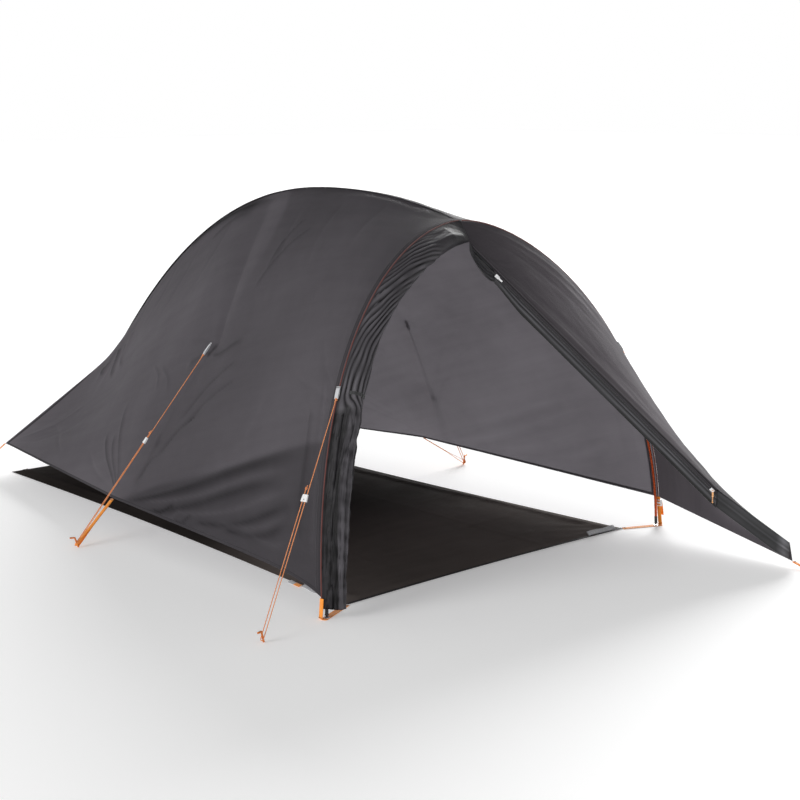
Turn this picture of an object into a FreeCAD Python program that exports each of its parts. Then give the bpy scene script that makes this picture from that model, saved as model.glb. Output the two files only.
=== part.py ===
"""Two-person trekking tent, pitched: fly, hubbed three-legged pole set and groundsheet.

Frame: millimetres, +Z up, ground at z = 0, origin on the ground under the middle of the
groundsheet.  -Y is the doorway end, +Y the foot end, -X the side whose door is rolled up.
"""
import FreeCAD, Part
import math
import os

V = FreeCAD.Vector
LEFT, RIGHT = -1, 1
UP = V(0, 0, 1)

# Driving dimensions -------------------------------------------------------------------
FOOT_HALF = 718.0        # half the spread of the fly's front arch at the ground
FOOT_Y = -1100.0         # front pole feet
HUB_Y = -890.0           # highest point of the front arch
HUB_Z = 1036.0
CREST_Y = -290.0         # highest point of the ridge
CREST_Z = 1112.0
BEND_Y = 1080.0          # where the ridge ends and the foot panel begins
BEND_Z = 412.0
REAR_FOOT_Y = 1190.0     # rear pole foot
HEM_Z = {LEFT: 58.0, RIGHT: 96.0}   # hem height at the front corners
REAR_HEM_Z = 96.0
HEM_SWOOP = 0.055        # how soon the hem rises behind the lower corner
TAB_X, TAB_Y, TAB_Z = 685.0, 27.0, 122.0            # peg tab in the middle of each side
CORNER_X, CORNER_Y, CORNER_Z = 500.0, 1100.0, 104.0  # rear corners of the fly
MAT_FRONT, MAT_REAR, MAT_HALF = 592.0, 508.0, 1050.0  # groundsheet half widths, half length

ARCH_X_POWER = 1.138     # squareness of the front arch
ARCH_Z_POWER = 0.896
ARCH_HOLLOW = 0.833      # how late the arch starts to lean back
RIDGE_FRONT_POWER = 2.3
RIDGE_REAR_POWER = 2.12
TAB_U = 0.512            # place of the side tab along the fly, 0 front to 1 rear
BULGE_FADE = 2.2         # how fast the arch's roundness dies away towards the rear
SADDLE = 60.0            # hollow of the side panels beside the rear corner
SADDLE_POWER = 6.0

FLY_THICK = 3.0
MAT_THICK = 2.0
WEB_THICK = 1.4
POLE_GAP = 14.0          # pole centre line below the fly's outer surface
POLE_R, POLE_BORE = 4.25, 3.55
FERRULE_R, FERRULE_BORE, FERRULE_HALF = 3.1, 2.3, 34.0
ELASTIC_R = 1.2
TIP_LENGTH = 28.0

APEX = V(0, -930, 973)                 # top of the free edge of the pegged-out door
KINK = V(497, -1498, 234)              # bottom end of its zip
FLAP_END = V(643, -1666, 72)
TOE = V(650, -1674, 15)                # pegged corner of the vestibule
KINK_T, FLAP_T = 0.74, 0.96            # their places along the free edge

ZIP_DROP = 18.0          # zip line below the free edge
FLAP_DROP = 62.0         # depth of the storm flap
SLIDER_TOP_S, SLIDER_LOW_S = 118.0, 1036.0   # slider places along the zip

ROLL = (                 # rolled door: place on the arch, inward and forward of it, radius
    (0.05, 47.0, 35.0, 16.0), (0.10, 39.0, 34.0, 24.0), (0.20, 38.0, 34.0, 28.0),
    (0.30, 36.0, 34.0, 27.0), (0.40, 33.0, 32.0, 25.5), (0.50, 30.0, 31.0, 23.0),
    (0.60, 33.0, 34.0, 24.5), (0.70, 34.0, 33.0, 26.0), (0.80, 35.0, 34.0, 26.5),
    (0.90, 34.0, 34.0, 23.0), (1.01, 31.0, 31.0, 18.5))
GUY_TURN = 0.622         # front guy point on the arch, 0 top to 1 ground
MID_GUY_U, MID_GUY_V = 0.393, 0.556          # side guy point on the side panel
CORD_R = 1.25
STRAND_HALF = 4.6        # half the spacing of a doubled guyline
PEG_R = 2.8
PEG_TALL = 34.0
LOOP_HEIGHT = 15.0       # where a guyline passes round its peg
FRONT_PEG = V(-950, -1140, 0)
MID_PEG_X, MID_PEG_Y = 850.0, -26.0
REAR_PEG_X, REAR_PEG_Y = 560.0, 1190.0
TOE_PEG = V(635, -1733, 0)


# Small helpers ------------------------------------------------------------------------
def mix(a, b, t):
    return a + (b - a) * t


def unit(a):
    return V(a) / a.Length


def cylinder(centre, axis, radius, length):
    return Part.makeCylinder(radius, length, centre, axis)


def prism(start, end, wide, width, thick):
    """A straight strap from start to end; `wide` is the direction of its width."""
    along = unit(end - start)
    side = unit(wide - along * wide.dot(along)) * (width / 2)
    up = unit(side.cross(along)) * (thick / 2)
    ring = [start + side + up, start - side + up, start - side - up, start + side - up]
    return Part.Face(Part.makePolygon(ring + ring[:1])).extrude(end - start)


def place(shape, origin, x_axis, y_axis):
    """Moves a shape drawn at the origin so that its X and Y lie along the given directions."""
    x = unit(x_axis)
    y = unit(y_axis - x * x.dot(y_axis))
    z = x.cross(y)
    turn = FreeCAD.Matrix(x.x, y.x, z.x, origin.x, x.y, y.y, z.y, origin.y,
                          x.z, y.z, z.z, origin.z, 0, 0, 0, 1)
    return shape.transformGeometry(turn)


def panel(outer, inner):
    """A thin closed solid between two grids of points: outer[i][j] and inner[i][j]."""
    surfaces = []
    for grid in (outer, inner):
        surface = Part.BSplineSurface()
        surface.interpolate(grid)
        surfaces.append(surface)
    faces = [surface.toShape() for surface in surfaces]
    u0, u1, v0, v1 = surfaces[0].bounds()
    a0, a1, b0, b1 = surfaces[1].bounds()
    rims = [(surfaces[0].uIso(u0), surfaces[1].uIso(a0)), (surfaces[0].uIso(u1), surfaces[1].uIso(a1)),
            (surfaces[0].vIso(v0), surfaces[1].vIso(b0)), (surfaces[0].vIso(v1), surfaces[1].vIso(b1))]
    faces += [Part.makeRuledSurface(p.toShape(), q.toShape()) for p, q in rims]
    shell = Part.makeShell(faces)
    shell.sewShape()
    solid = Part.makeSolid(shell)
    if solid.Volume < 0:
        solid.reverse()
    return solid


def arc_edge(a, b, c):
    return Part.Arc(a, b, c).toShape()


def tube_along(edge, radius, bore=0.0):
    """A round rod or tube along one arc."""
    start = edge.valueAt(edge.FirstParameter)
    tangent = edge.tangentAt(edge.FirstParameter)
    rod = Part.Wire([edge]).makePipeShell([Part.Wire([Part.makeCircle(radius, start, tangent)])], True, True)
    if bore:
        rod = rod.cut(tube_along(edge, bore))
    return rod


def loft_along(centres, tangents, radii):
    rings = [Part.Wire([Part.makeCircle(r, c, t)]) for c, t, r in zip(centres, tangents, radii)]
    return Part.makeLoft(rings, True, False)


# The shape of the tent ----------------------------------------------------------------
def arch_point(side, turn, inset=0.0):
    """A point of the front arch: turn is 0 at the top and 1 at the ground."""
    angle = math.radians(90.0 * turn)
    height = HUB_Z - inset
    x = (FOOT_HALF - inset) * math.sin(angle) ** ARCH_X_POWER
    z = height * max(math.cos(angle), 0.0) ** ARCH_Z_POWER
    rise = z / height
    y = mix(FOOT_Y, HUB_Y, rise - ARCH_HOLLOW * rise * (1 - rise))
    return V(side * x, y, z)


def turn_at(height):
    return math.degrees(math.acos((height / HUB_Z) ** (1 / ARCH_Z_POWER))) / 90.0


HEM_TURN = {side: turn_at(height) for side, height in HEM_Z.items()}


def ridge_point(u, inset=0.0):
    y = mix(HUB_Y, BEND_Y, u)
    front = max(CREST_Y - y, 0.0) / (CREST_Y - HUB_Y)
    rear = max(y - CREST_Y, 0.0) / (BEND_Y - CREST_Y)
    z = CREST_Z - (CREST_Z - HUB_Z) * front ** RIDGE_FRONT_POWER
    return V(0, y, z - (CREST_Z - BEND_Z) * rear ** RIDGE_REAR_POWER - inset)


def ridge_pole_point(u):
    """The pole's centre line lies at the same depth under the ridge all the way."""
    slope = unit(ridge_point(u + 0.005) - ridge_point(u - 0.005))
    return ridge_point(u) + V(0, slope.z, -slope.y) * POLE_GAP


def hem_point(side, u, inset=0.0):
    corner = arch_point(side, HEM_TURN[side], inset)
    tab = V(side * (TAB_X - inset), TAB_Y, TAB_Z)
    rear = V(side * (CORNER_X - inset), CORNER_Y, CORNER_Z)
    if u < TAB_U:
        lift = (HEM_Z[RIGHT] - HEM_Z[side]) * (1 - u / TAB_U) * (1 - math.exp(-u / HEM_SWOOP))
        return mix(corner, tab, u / TAB_U) + UP * lift
    return mix(tab, rear, (u - TAB_U) / (1 - TAB_U))


def fly_point(side, u, v, inset=0.0):
    """Side panel: u runs from the arch to the rear, v from the ridge to the hem."""
    top, bottom = arch_point(side, 0, inset), arch_point(side, HEM_TURN[side], inset)
    bulge = arch_point(side, HEM_TURN[side] * v, inset) - mix(top, bottom, v)
    peak = SADDLE_POWER ** SADDLE_POWER / (SADDLE_POWER + 1) ** (SADDLE_POWER + 1)
    hollow = SADDLE * u ** SADDLE_POWER * (1 - u) / peak * math.sin(math.pi * v)
    straight = mix(ridge_point(u, inset), hem_point(side, u, inset), v)
    dip = V(-side * 1.3 * math.sqrt(v), 0, -0.6) * hollow
    return straight + bulge * (1 - u) ** BULGE_FADE + dip


def rear_pole_y(z):
    """The straight lower leg of the ridge pole."""
    return REAR_FOOT_Y - 95.0 / 375.0 * z


def rear_point(side, across, down, out=0.0):
    """Foot panel: across runs from the pole line to the corner edge, down from top to hem."""
    z = mix(BEND_Z - 2, REAR_HEM_Z - 1, down)
    centre = V(0, rear_pole_y(z) + 12 - 16 * (1 - down) ** 6, z)
    return mix(centre, fly_point(side, 1, down), across) + V(0, out, 0)


def free_edge(t):
    if t < KINK_T:
        return mix(APEX, KINK, t / KINK_T)
    if t < FLAP_T:
        return mix(KINK, FLAP_END, (t - KINK_T) / (FLAP_T - KINK_T))
    return mix(FLAP_END, TOE, (t - FLAP_T) / (1 - FLAP_T))


def door_point(t, w, inset=0.0):
    """Pegged-out door: t runs down the arch and the free edge, w from arch to free edge."""
    arch = arch_point(RIGHT, HEM_TURN[RIGHT] * t) + V(0, -5, 0)
    return mix(arch, free_edge(t), w) + V(-0.65, 0.3, -0.7) * inset


def side_panel(side, u_from, u_to, rows=9, columns=13, crowd=1.0):
    """One side panel; crowd above 1 sets the rows closer together near its front."""
    places = [mix(u_from, u_to, (i / (rows - 1)) ** crowd) for i in range(rows)]
    grids = []
    for inset in (0.0, FLY_THICK):
        grids.append([[fly_point(side, u, j / (columns - 1), inset) for j in range(columns)]
                      for u in places])
    return panel(*grids)


def foot_panel(side, rows=7, columns=9, first=0.05):
    grids = []
    for out in (FLY_THICK, 0.0):
        grids.append([[rear_point(side, i / (rows - 1), mix(first, 1.0, j / (columns - 1)), out)
                       for j in range(columns)] for i in range(rows)])
    return panel(*grids)


def pegged_door(columns=6):
    stations = [0, 0.09, 0.2, 0.32, 0.44, 0.55, 0.65, KINK_T, 0.82, 0.9, FLAP_T, 1]
    grids = []
    for inset in (0.0, FLY_THICK):
        grids.append([[door_point(t, j / (columns - 1), inset) for j in range(columns)]
                      for t in stations])
    return panel(*grids)


# Zip, storm flap and sliders ----------------------------------------------------------
ZIP_DIR = unit(KINK - APEX)
FACE = unit(V(ZIP_DIR.y, -ZIP_DIR.x, 0)) * 1.0          # out of the doorway side of the strip
ZIP_UP = unit(FACE.cross(ZIP_DIR)) * 1.0
if ZIP_UP.z < 0:
    ZIP_UP = ZIP_UP * -1
ZIP_LENGTH = (KINK - APEX).Length


def zip_point(s):
    return APEX + ZIP_DIR * s - UP * ZIP_DROP


def zip_tape():
    lift = ZIP_UP * 5.8
    return prism(zip_point(26) + lift, zip_point(ZIP_LENGTH - 6) + lift, ZIP_UP, 6.4, 0.8)


def zip_coil():
    return prism(zip_point(26), zip_point(ZIP_LENGTH - 4), ZIP_UP, 4.4, 2.2)


def flap_piece(top_start, top_end, deep_start, deep_end):
    back = FACE * -6.5
    ring = [top_start - UP * 12, top_end - UP * 12, top_end - UP * deep_end, top_start - UP * deep_start]
    ring = [p + back for p in ring]
    return Part.Face(Part.makePolygon(ring + ring[:1])).extrude(FACE * -1.5)


def storm_flap():
    start = APEX + ZIP_DIR * 45
    upper = flap_piece(start, KINK, 50, FLAP_DROP)
    lower = flap_piece(KINK, FLAP_END, FLAP_DROP, 58)
    return upper.fuse(lower).removeSplitter()


def slider(s):
    """Zip slider drawn along X, tape side +Y, pull side +Z."""
    body = Part.makeBox(14, 10, 5.6, V(-7, -5, -2.8))
    body = body.makeFillet(1.2, [e for e in body.Edges if abs(e.tangentAt(e.FirstParameter).x) > 0.9])
    channel = Part.makeBox(20, 5.2, 3.0, V(-10, -2.6, -1.5))
    slot = Part.makeBox(20, 8, 1.6, V(-10, 0, -0.8))
    pin = Part.makeCylinder(1.1, 4.4, V(3, 0, 2.6), V(0, 0, 1))
    head = Part.makeCylinder(2.4, 1.0, V(3, 0, 7.0), V(0, 0, 1))
    shape = body.cut(channel).cut(slot).fuse(pin).fuse(head)
    return place(shape, zip_point(s), ZIP_DIR, ZIP_UP) if FACE.dot(ZIP_DIR.cross(ZIP_UP)) > 0 \
        else place(shape.mirror(V(), V(0, 0, 1)), zip_point(s), ZIP_DIR, ZIP_UP)


def pull_pivot(s):
    return zip_point(s) + ZIP_DIR * 3


def slider_pull(s, along, cord_length):
    """Puller on the slider's pin: ring and tab, and on the lower one a cord with its knot."""
    pivot = pull_pivot(s) + FACE * 4.0
    middle = pivot + FACE * 0.9
    shape = cylinder(pivot, FACE, 3.4, 1.8)
    shape = shape.fuse(prism(middle + along * 2, middle + along * 18, FACE.cross(along), 5.0, 1.8))
    if cord_length:
        shape = shape.fuse(cylinder(middle + along * 17, along, 1.3, cord_length))
        shape = shape.fuse(Part.makeSphere(2.4, middle + along * (17 + cord_length)))
    return shape.cut(cylinder(pivot - FACE, FACE, 1.5, 5))


# Rolled door --------------------------------------------------------------------------
def arch_frame(side, turn):
    """Point of the arch, its tangent and its inward normal in the arch's own curve."""
    point = arch_point(side, turn)
    tangent = unit(arch_point(side, turn + 0.01) - arch_point(side, turn - 0.01))
    inward = unit(tangent.cross(V(0, -side, 0)))
    return point, tangent, inward


def roll_size(turn):
    """Inward and forward distance from the arch, and radius, at one place on the arch."""
    before, after = [(a, b) for a, b in zip(ROLL, ROLL[1:]) if turn <= b[0]][0]
    share = (turn - before[0]) / (after[0] - before[0])
    return [mix(a, b, share) for a, b in zip(before[1:], after[1:])]


def roll_centre(turn):
    point, tangent, inward = arch_frame(LEFT, turn)
    deep, ahead, radius = roll_size(turn)
    return point + inward * deep + V(0, -ahead, 0)


def roll_tangent(turn):
    return unit(roll_centre(turn + 0.01) - roll_centre(turn - 0.01))


def roll_radius(turn):
    return roll_size(turn)[2]


def rolled_door():
    turns = [0.09 + 0.898 * i / 13 for i in range(14)]
    return loft_along([roll_centre(t) for t in turns], [roll_tangent(t) for t in turns],
                      [roll_radius(t) for t in turns])


TIE_TURN = 0.63


def tie_band():
    centre, axis, radius = roll_centre(TIE_TURN), roll_tangent(TIE_TURN), roll_radius(TIE_TURN)
    start = centre - axis * 5
    return cylinder(start, axis, radius + 3.4, 10).cut(cylinder(start - axis, axis, radius + 1.6, 12))


def toggle_side():
    """The toggle sits behind the roll, on the side of the cabin."""
    axis = roll_tangent(TIE_TURN)
    out = V(0.66, 0.75, 0)
    return unit(out - axis * out.dot(axis))


def toggle_centre():
    return roll_centre(TIE_TURN) + toggle_side() * (roll_radius(TIE_TURN) + 12)


def tie_toggle():
    centre, axis, out = toggle_centre(), roll_tangent(TIE_TURN), toggle_side()
    barrel = cylinder(centre - axis * 15, axis, 4.0, 30)
    barrel = barrel.makeFillet(1.5, barrel.Edges[:1] + barrel.Edges[2:])
    groove = cylinder(centre - axis * 2, axis, 6, 4).cut(cylinder(centre - axis * 3, axis, 3.2, 6))
    stem = cylinder(centre - out * 8.2, out, 1.2, 7)
    return barrel.cut(groove).fuse(stem)


# Poles --------------------------------------------------------------------------------
LEG_TURNS = (0.013, 0.33, 0.655, 0.9865)


def leg_edges(side):
    edges = []
    for a, b in zip(LEG_TURNS, LEG_TURNS[1:]):
        edges.append(arc_edge(*[arch_point(side, t, POLE_GAP) for t in (a, (a + b) / 2, b)]))
    return edges


RIDGE_STATIONS = (0.006, 0.205, 0.41, 0.61, 0.79, 0.925)
ELBOW_R = 160.0


def ridge_edges():
    """Five bowed sections and a last one with a set elbow above its straight lower leg."""
    edges = []
    for a, b in zip(RIDGE_STATIONS, RIDGE_STATIONS[1:]):
        edges.append(arc_edge(*[ridge_pole_point(u) for u in (a, (a + b) / 2, b)]))
    return edges


def elbow_path():
    start = ridge_pole_point(RIDGE_STATIONS[-1])
    corner = V(0, rear_pole_y(384), 384)
    foot = pole_foot_top(0)
    into, away = unit(corner - start), unit(foot - corner)
    half = math.acos(max(-1.0, min(1.0, into.dot(away)))) / 2
    reach = ELBOW_R * math.tan(half)
    a, b = corner - into * reach, corner + away * reach
    middle = corner + unit(away - into) * (ELBOW_R / math.cos(half) - ELBOW_R)
    return [Part.LineSegment(start, a).toShape(), arc_edge(a, middle, b), Part.LineSegment(b, foot).toShape()]


def pole_foot(side):
    return V(side * (FOOT_HALF - POLE_GAP), FOOT_Y, 0) if side else V(0, REAR_FOOT_Y, 0)


def pole_foot_top(side):
    if side:
        return arch_point(side, LEG_TURNS[-1], POLE_GAP)
    return V(0, rear_pole_y(TIP_LENGTH), TIP_LENGTH)


def rod_along(edges, radius, bore=0.0):
    wire = Part.Wire(edges)
    start, tangent = edges[0].valueAt(edges[0].FirstParameter), edges[0].tangentAt(edges[0].FirstParameter)
    rod = wire.makePipeShell([Part.Wire([Part.makeCircle(radius, start, tangent)])], True, True)
    return rod.cut(rod_along(edges, bore)) if bore else rod


def pole_tip(side):
    foot = pole_foot(side)
    axis = unit(pole_foot_top(side) - foot)
    point = cylinder(foot - axis * 4, axis, 2.8, 14)
    flange = cylinder(foot + axis * 8, axis, 6.0, 2.2)
    body = cylinder(foot + axis * 10, axis, 4.9, (pole_foot_top(side) - foot).Length - 10.3)
    return point.fuse(flange).fuse(body).common(Part.makeBox(60, 60, 80, V(foot.x - 30, foot.y - 30, 0)))


def ferrule(first, second):
    """Inner sleeve that joins two sections, half of it in each."""
    joint = first.valueAt(first.LastParameter)
    before = first.valueAt(first.getParameterByLength(first.Length - FERRULE_HALF))
    after = second.valueAt(second.getParameterByLength(FERRULE_HALF))
    return tube_along(arc_edge(before, joint, after), FERRULE_R, FERRULE_BORE)


def hub(edges):
    """Moulded three-way hub: a round heart with one collared socket for each pole."""
    shape = cylinder(V(0, HUB_Y, HUB_Z - POLE_GAP - 8), UP, 8.0, 11)
    bores = []
    for edge in edges:
        start = edge.valueAt(edge.FirstParameter)
        axis = unit(edge.valueAt(edge.getParameterByLength(28)) - start)
        shape = shape.fuse(cylinder(start - axis * 7, axis, 6.4, 33))
        shape = shape.fuse(cylinder(start + axis * 22, axis, 7.0, 4))
        bores.append(cylinder(start - axis * 1.2, axis, POLE_R + 0.45, 40))
    for bore in bores:
        shape = shape.cut(bore)
    return shape


def wrap(edge, fraction):
    """Hook-and-loop wrap that ties the fly to a pole."""
    parameter = edge.getParameterByLength(edge.Length * fraction)
    axis = edge.tangentAt(parameter)
    start = edge.valueAt(parameter) - axis * 8
    return cylinder(start, axis, 5.9, 16).cut(cylinder(start - axis, axis, POLE_R + 0.25, 18))


# Groundsheet, straps and pegs ---------------------------------------------------------
def groundsheet():
    corners = [V(-MAT_FRONT, -MAT_HALF, 0), V(MAT_FRONT, -MAT_HALF, 0),
               V(MAT_REAR, MAT_HALF, 0), V(-MAT_REAR, MAT_HALF, 0)]
    return Part.Face(Part.makePolygon(corners + corners[:1])).extrude(UP * MAT_THICK)


def ground_strap(start, foot, past):
    """Flat webbing on the ground from the groundsheet to beyond a pole foot, with its eye."""
    along = unit(foot - start)
    rise = UP * (WEB_THICK / 2)
    strap = prism(start + along * 2 + rise, foot + along * past + rise, UP.cross(along), 20, WEB_THICK)
    return strap.cut(Part.makeCylinder(3.6, 10, foot - UP * 5, UP))


def grommet(foot):
    profile = [V(3.7, 0, WEB_THICK), V(8.5, 0, WEB_THICK), V(8.2, 0, 2.2), V(6.2, 0, 2.9), V(3.7, 0, 2.9)]
    ring = Part.Face(Part.makePolygon(profile + profile[:1])).revolve(V(), UP, 360)
    ring.translate(foot)
    return ring


def riser(side):
    """Lower end and upper end of the webbing that pulls the fly down at a pole foot."""
    if side:
        return V(side * 726, FOOT_Y, WEB_THICK), arch_point(side, HEM_TURN[side]) + V(side * 2, 0, -1)
    return V(0, REAR_FOOT_Y + 16, WEB_THICK), V(0, rear_pole_y(REAR_HEM_Z) + 14, REAR_HEM_Z - 2)


def corner_strap(side):
    foot = pole_foot(side)
    start = V(side * MAT_FRONT, -MAT_HALF, 0) if side else V(0, MAT_HALF, 0)
    low, high = riser(side)
    wide = V(0, 1, 0) if side else V(1, 0, 0)
    flat = ground_strap(start, foot, 22)
    return flat.fuse(prism(low - UP * 0.8, high, wide, 16, WEB_THICK))


def strap_adjuster(side):
    """Ladder-lock frame with the webbing running through its slot."""
    low, high = riser(side)
    along = unit(high - low)
    wide = V(0, 1, 0) if side else V(1, 0, 0)
    centre = mix(low, high, 0.79)
    frame = Part.makeBox(22, 25, 6.4, V(-11, -12.5, -3.2))
    frame = frame.makeFillet(1.4, frame.Edges)
    slot = Part.makeBox(30, 17.4, 2.6, V(-15, -8.7, -1.3))
    window_a = Part.makeBox(5, 17.4, 10, V(-8, -8.7, -5))
    window_b = Part.makeBox(5, 17.4, 10, V(3, -8.7, -5))
    return place(frame.cut(slot).cut(window_a).cut(window_b), centre, along, wide)


def peg(ground, away):
    """Top of a driven hook peg, leaning away from the pull."""
    away = unit(V(away.x, away.y, 0))
    lean = unit(UP + away * 0.32)
    top = ground + lean * PEG_TALL
    bend = 4.0
    half = lean.getAngle(away) / 2
    reach = bend * math.tan(half)
    a, b = top - lean * reach, top + away * reach
    middle = top + unit(away - lean) * (bend / math.cos(half) - bend)
    path = [Part.LineSegment(ground - lean * 8, a).toShape(), arc_edge(a, middle, b),
            Part.LineSegment(b, top + away * 16).toShape()]
    return rod_along(path, PEG_R).common(Part.makeBox(200, 200, 100, ground - V(100, 100, 0)))


def peg_strap(start, ground, height, width):
    """Webbing loop from the fly's hem to just short of its peg."""
    end = ground + UP * height
    along = unit(end - start)
    return prism(start + along * 4, end - along * (PEG_R + 2), UP.cross(along), width, WEB_THICK)


# Guylines -----------------------------------------------------------------------------
def guy_frame(anchor, peg_ground, loop):
    """Start of the cord, its direction, its sideways direction and its run to the peg."""
    target = peg_ground + UP * LOOP_HEIGHT + unit(V(peg_ground.x - anchor.x, peg_ground.y - anchor.y, 0)) * 5
    along = unit(target - anchor)
    start = anchor + along * loop
    return start, along, unit(along.cross(UP)), (target - start).Length


def guy_route(anchor, peg_ground, loop, lock):
    """Down one side to the peg, round it and back up to the tail above the line-lock."""
    start, along, across, run = guy_frame(anchor, peg_ground, loop)
    past = run + 10.0
    near, far = across * -STRAND_HALF, across * STRAND_HALF
    return [start + near, start + near + along * past, start + far + along * past,
            start + far + along * (run * lock - 26)]


def cord_tube(points):
    """Straight runs joined by tangent arcs."""
    edges, here = [], points[0]
    for i in range(1, len(points) - 1):
        before, after = points[i] - points[i - 1], points[i + 1] - points[i]
        half = before.getAngle(after) / 2
        reach = 0.45 * min(before.Length, after.Length)
        radius = reach / math.tan(half)
        a, b = points[i] - unit(before) * reach, points[i] + unit(after) * reach
        bisector = unit(unit(after) - unit(before))
        middle = points[i] + bisector * (radius / math.cos(half) - radius)
        edges += [Part.LineSegment(here, a).toShape(), arc_edge(a, middle, b)]
        here = b
        print("cord bend radius %.1f mm, turn %.0f degrees" % (radius, math.degrees(2 * half)))
    edges.append(Part.LineSegment(here, points[-1]).toShape())
    tube = rod_along(edges, CORD_R)
    length = sum(edge.Length for edge in edges)
    print("cord %.0f mm, volume ratio %.4f" % (length, tube.Volume / (length * math.pi * CORD_R ** 2)))
    return tube


def line_lock(anchor, peg_ground, loop, lock):
    """Wedge-shaped tensioner with one hole for each strand."""
    start, along, across, run = guy_frame(anchor, peg_ground, loop)
    ring = [V(-10.5, -7.8, -2.8), V(-10.5, 7.8, -2.8), V(10.5, 9.6, -2.8), V(10.5, -9.6, -2.8)]
    body = Part.Face(Part.makePolygon(ring + ring[:1])).extrude(V(0, 0, 5.6))
    body = body.makeFillet(0.9, body.Edges)
    for y in (-STRAND_HALF, STRAND_HALF):
        body = body.cut(Part.makeCylinder(CORD_R + 0.35, 40, V(-20, y, 0), V(1, 0, 0)))
    body = body.cut(Part.makeCylinder(2.0, 10, V(4.5, 0, -5), V(0, 0, 1)))
    return place(body, start + along * (run * lock), along, across)


def guy_loop(anchor, peg_ground, loop):
    """Reflective webbing loop sewn to the fly where a guyline starts."""
    start, along, across, run = guy_frame(anchor, peg_ground, loop)
    return prism(anchor + along * 1.0, start - along * 0.6, across, 12, 1.6)


def arch_guy(side):
    point, tangent, inward = arch_frame(side, GUY_TURN)
    return point - inward * 7


def mid_guy(side):
    return fly_point(side, MID_GUY_U, MID_GUY_V, -4)


def mid_peg(side):
    return V(side * MID_PEG_X, MID_PEG_Y, 0)


GUYS = {
    "front_left": (arch_guy(LEFT), FRONT_PEG, 34.0, 0.43),
    "mid_left": (mid_guy(LEFT), mid_peg(LEFT), 42.0, 0.46),
    "mid_right": (mid_guy(RIGHT), mid_peg(RIGHT), 42.0, 0.46),
}
SPARE_LOOP = (arch_guy(RIGHT), V(-FRONT_PEG.x, FRONT_PEG.y, 0), 34.0)


def piping(side):
    """Corded seam along the arch, in short straight lengths of octagonal section."""
    rings = []
    for i in range(29):
        point, tangent, inward = arch_frame(side, HEM_TURN[side] * (0.012 + 0.988 * i / 28))
        across = unit(tangent.cross(inward))
        centre = point - inward * 2.6
        ring = []
        for k in range(8):
            angle = math.radians(22.5 + 45 * k)
            ring.append(centre + (inward * math.cos(angle) + across * math.sin(angle)) * 2.05)
        rings.append(Part.makePolygon(ring + ring[:1]))
    return Part.makeLoft(rings, True, True)


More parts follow.
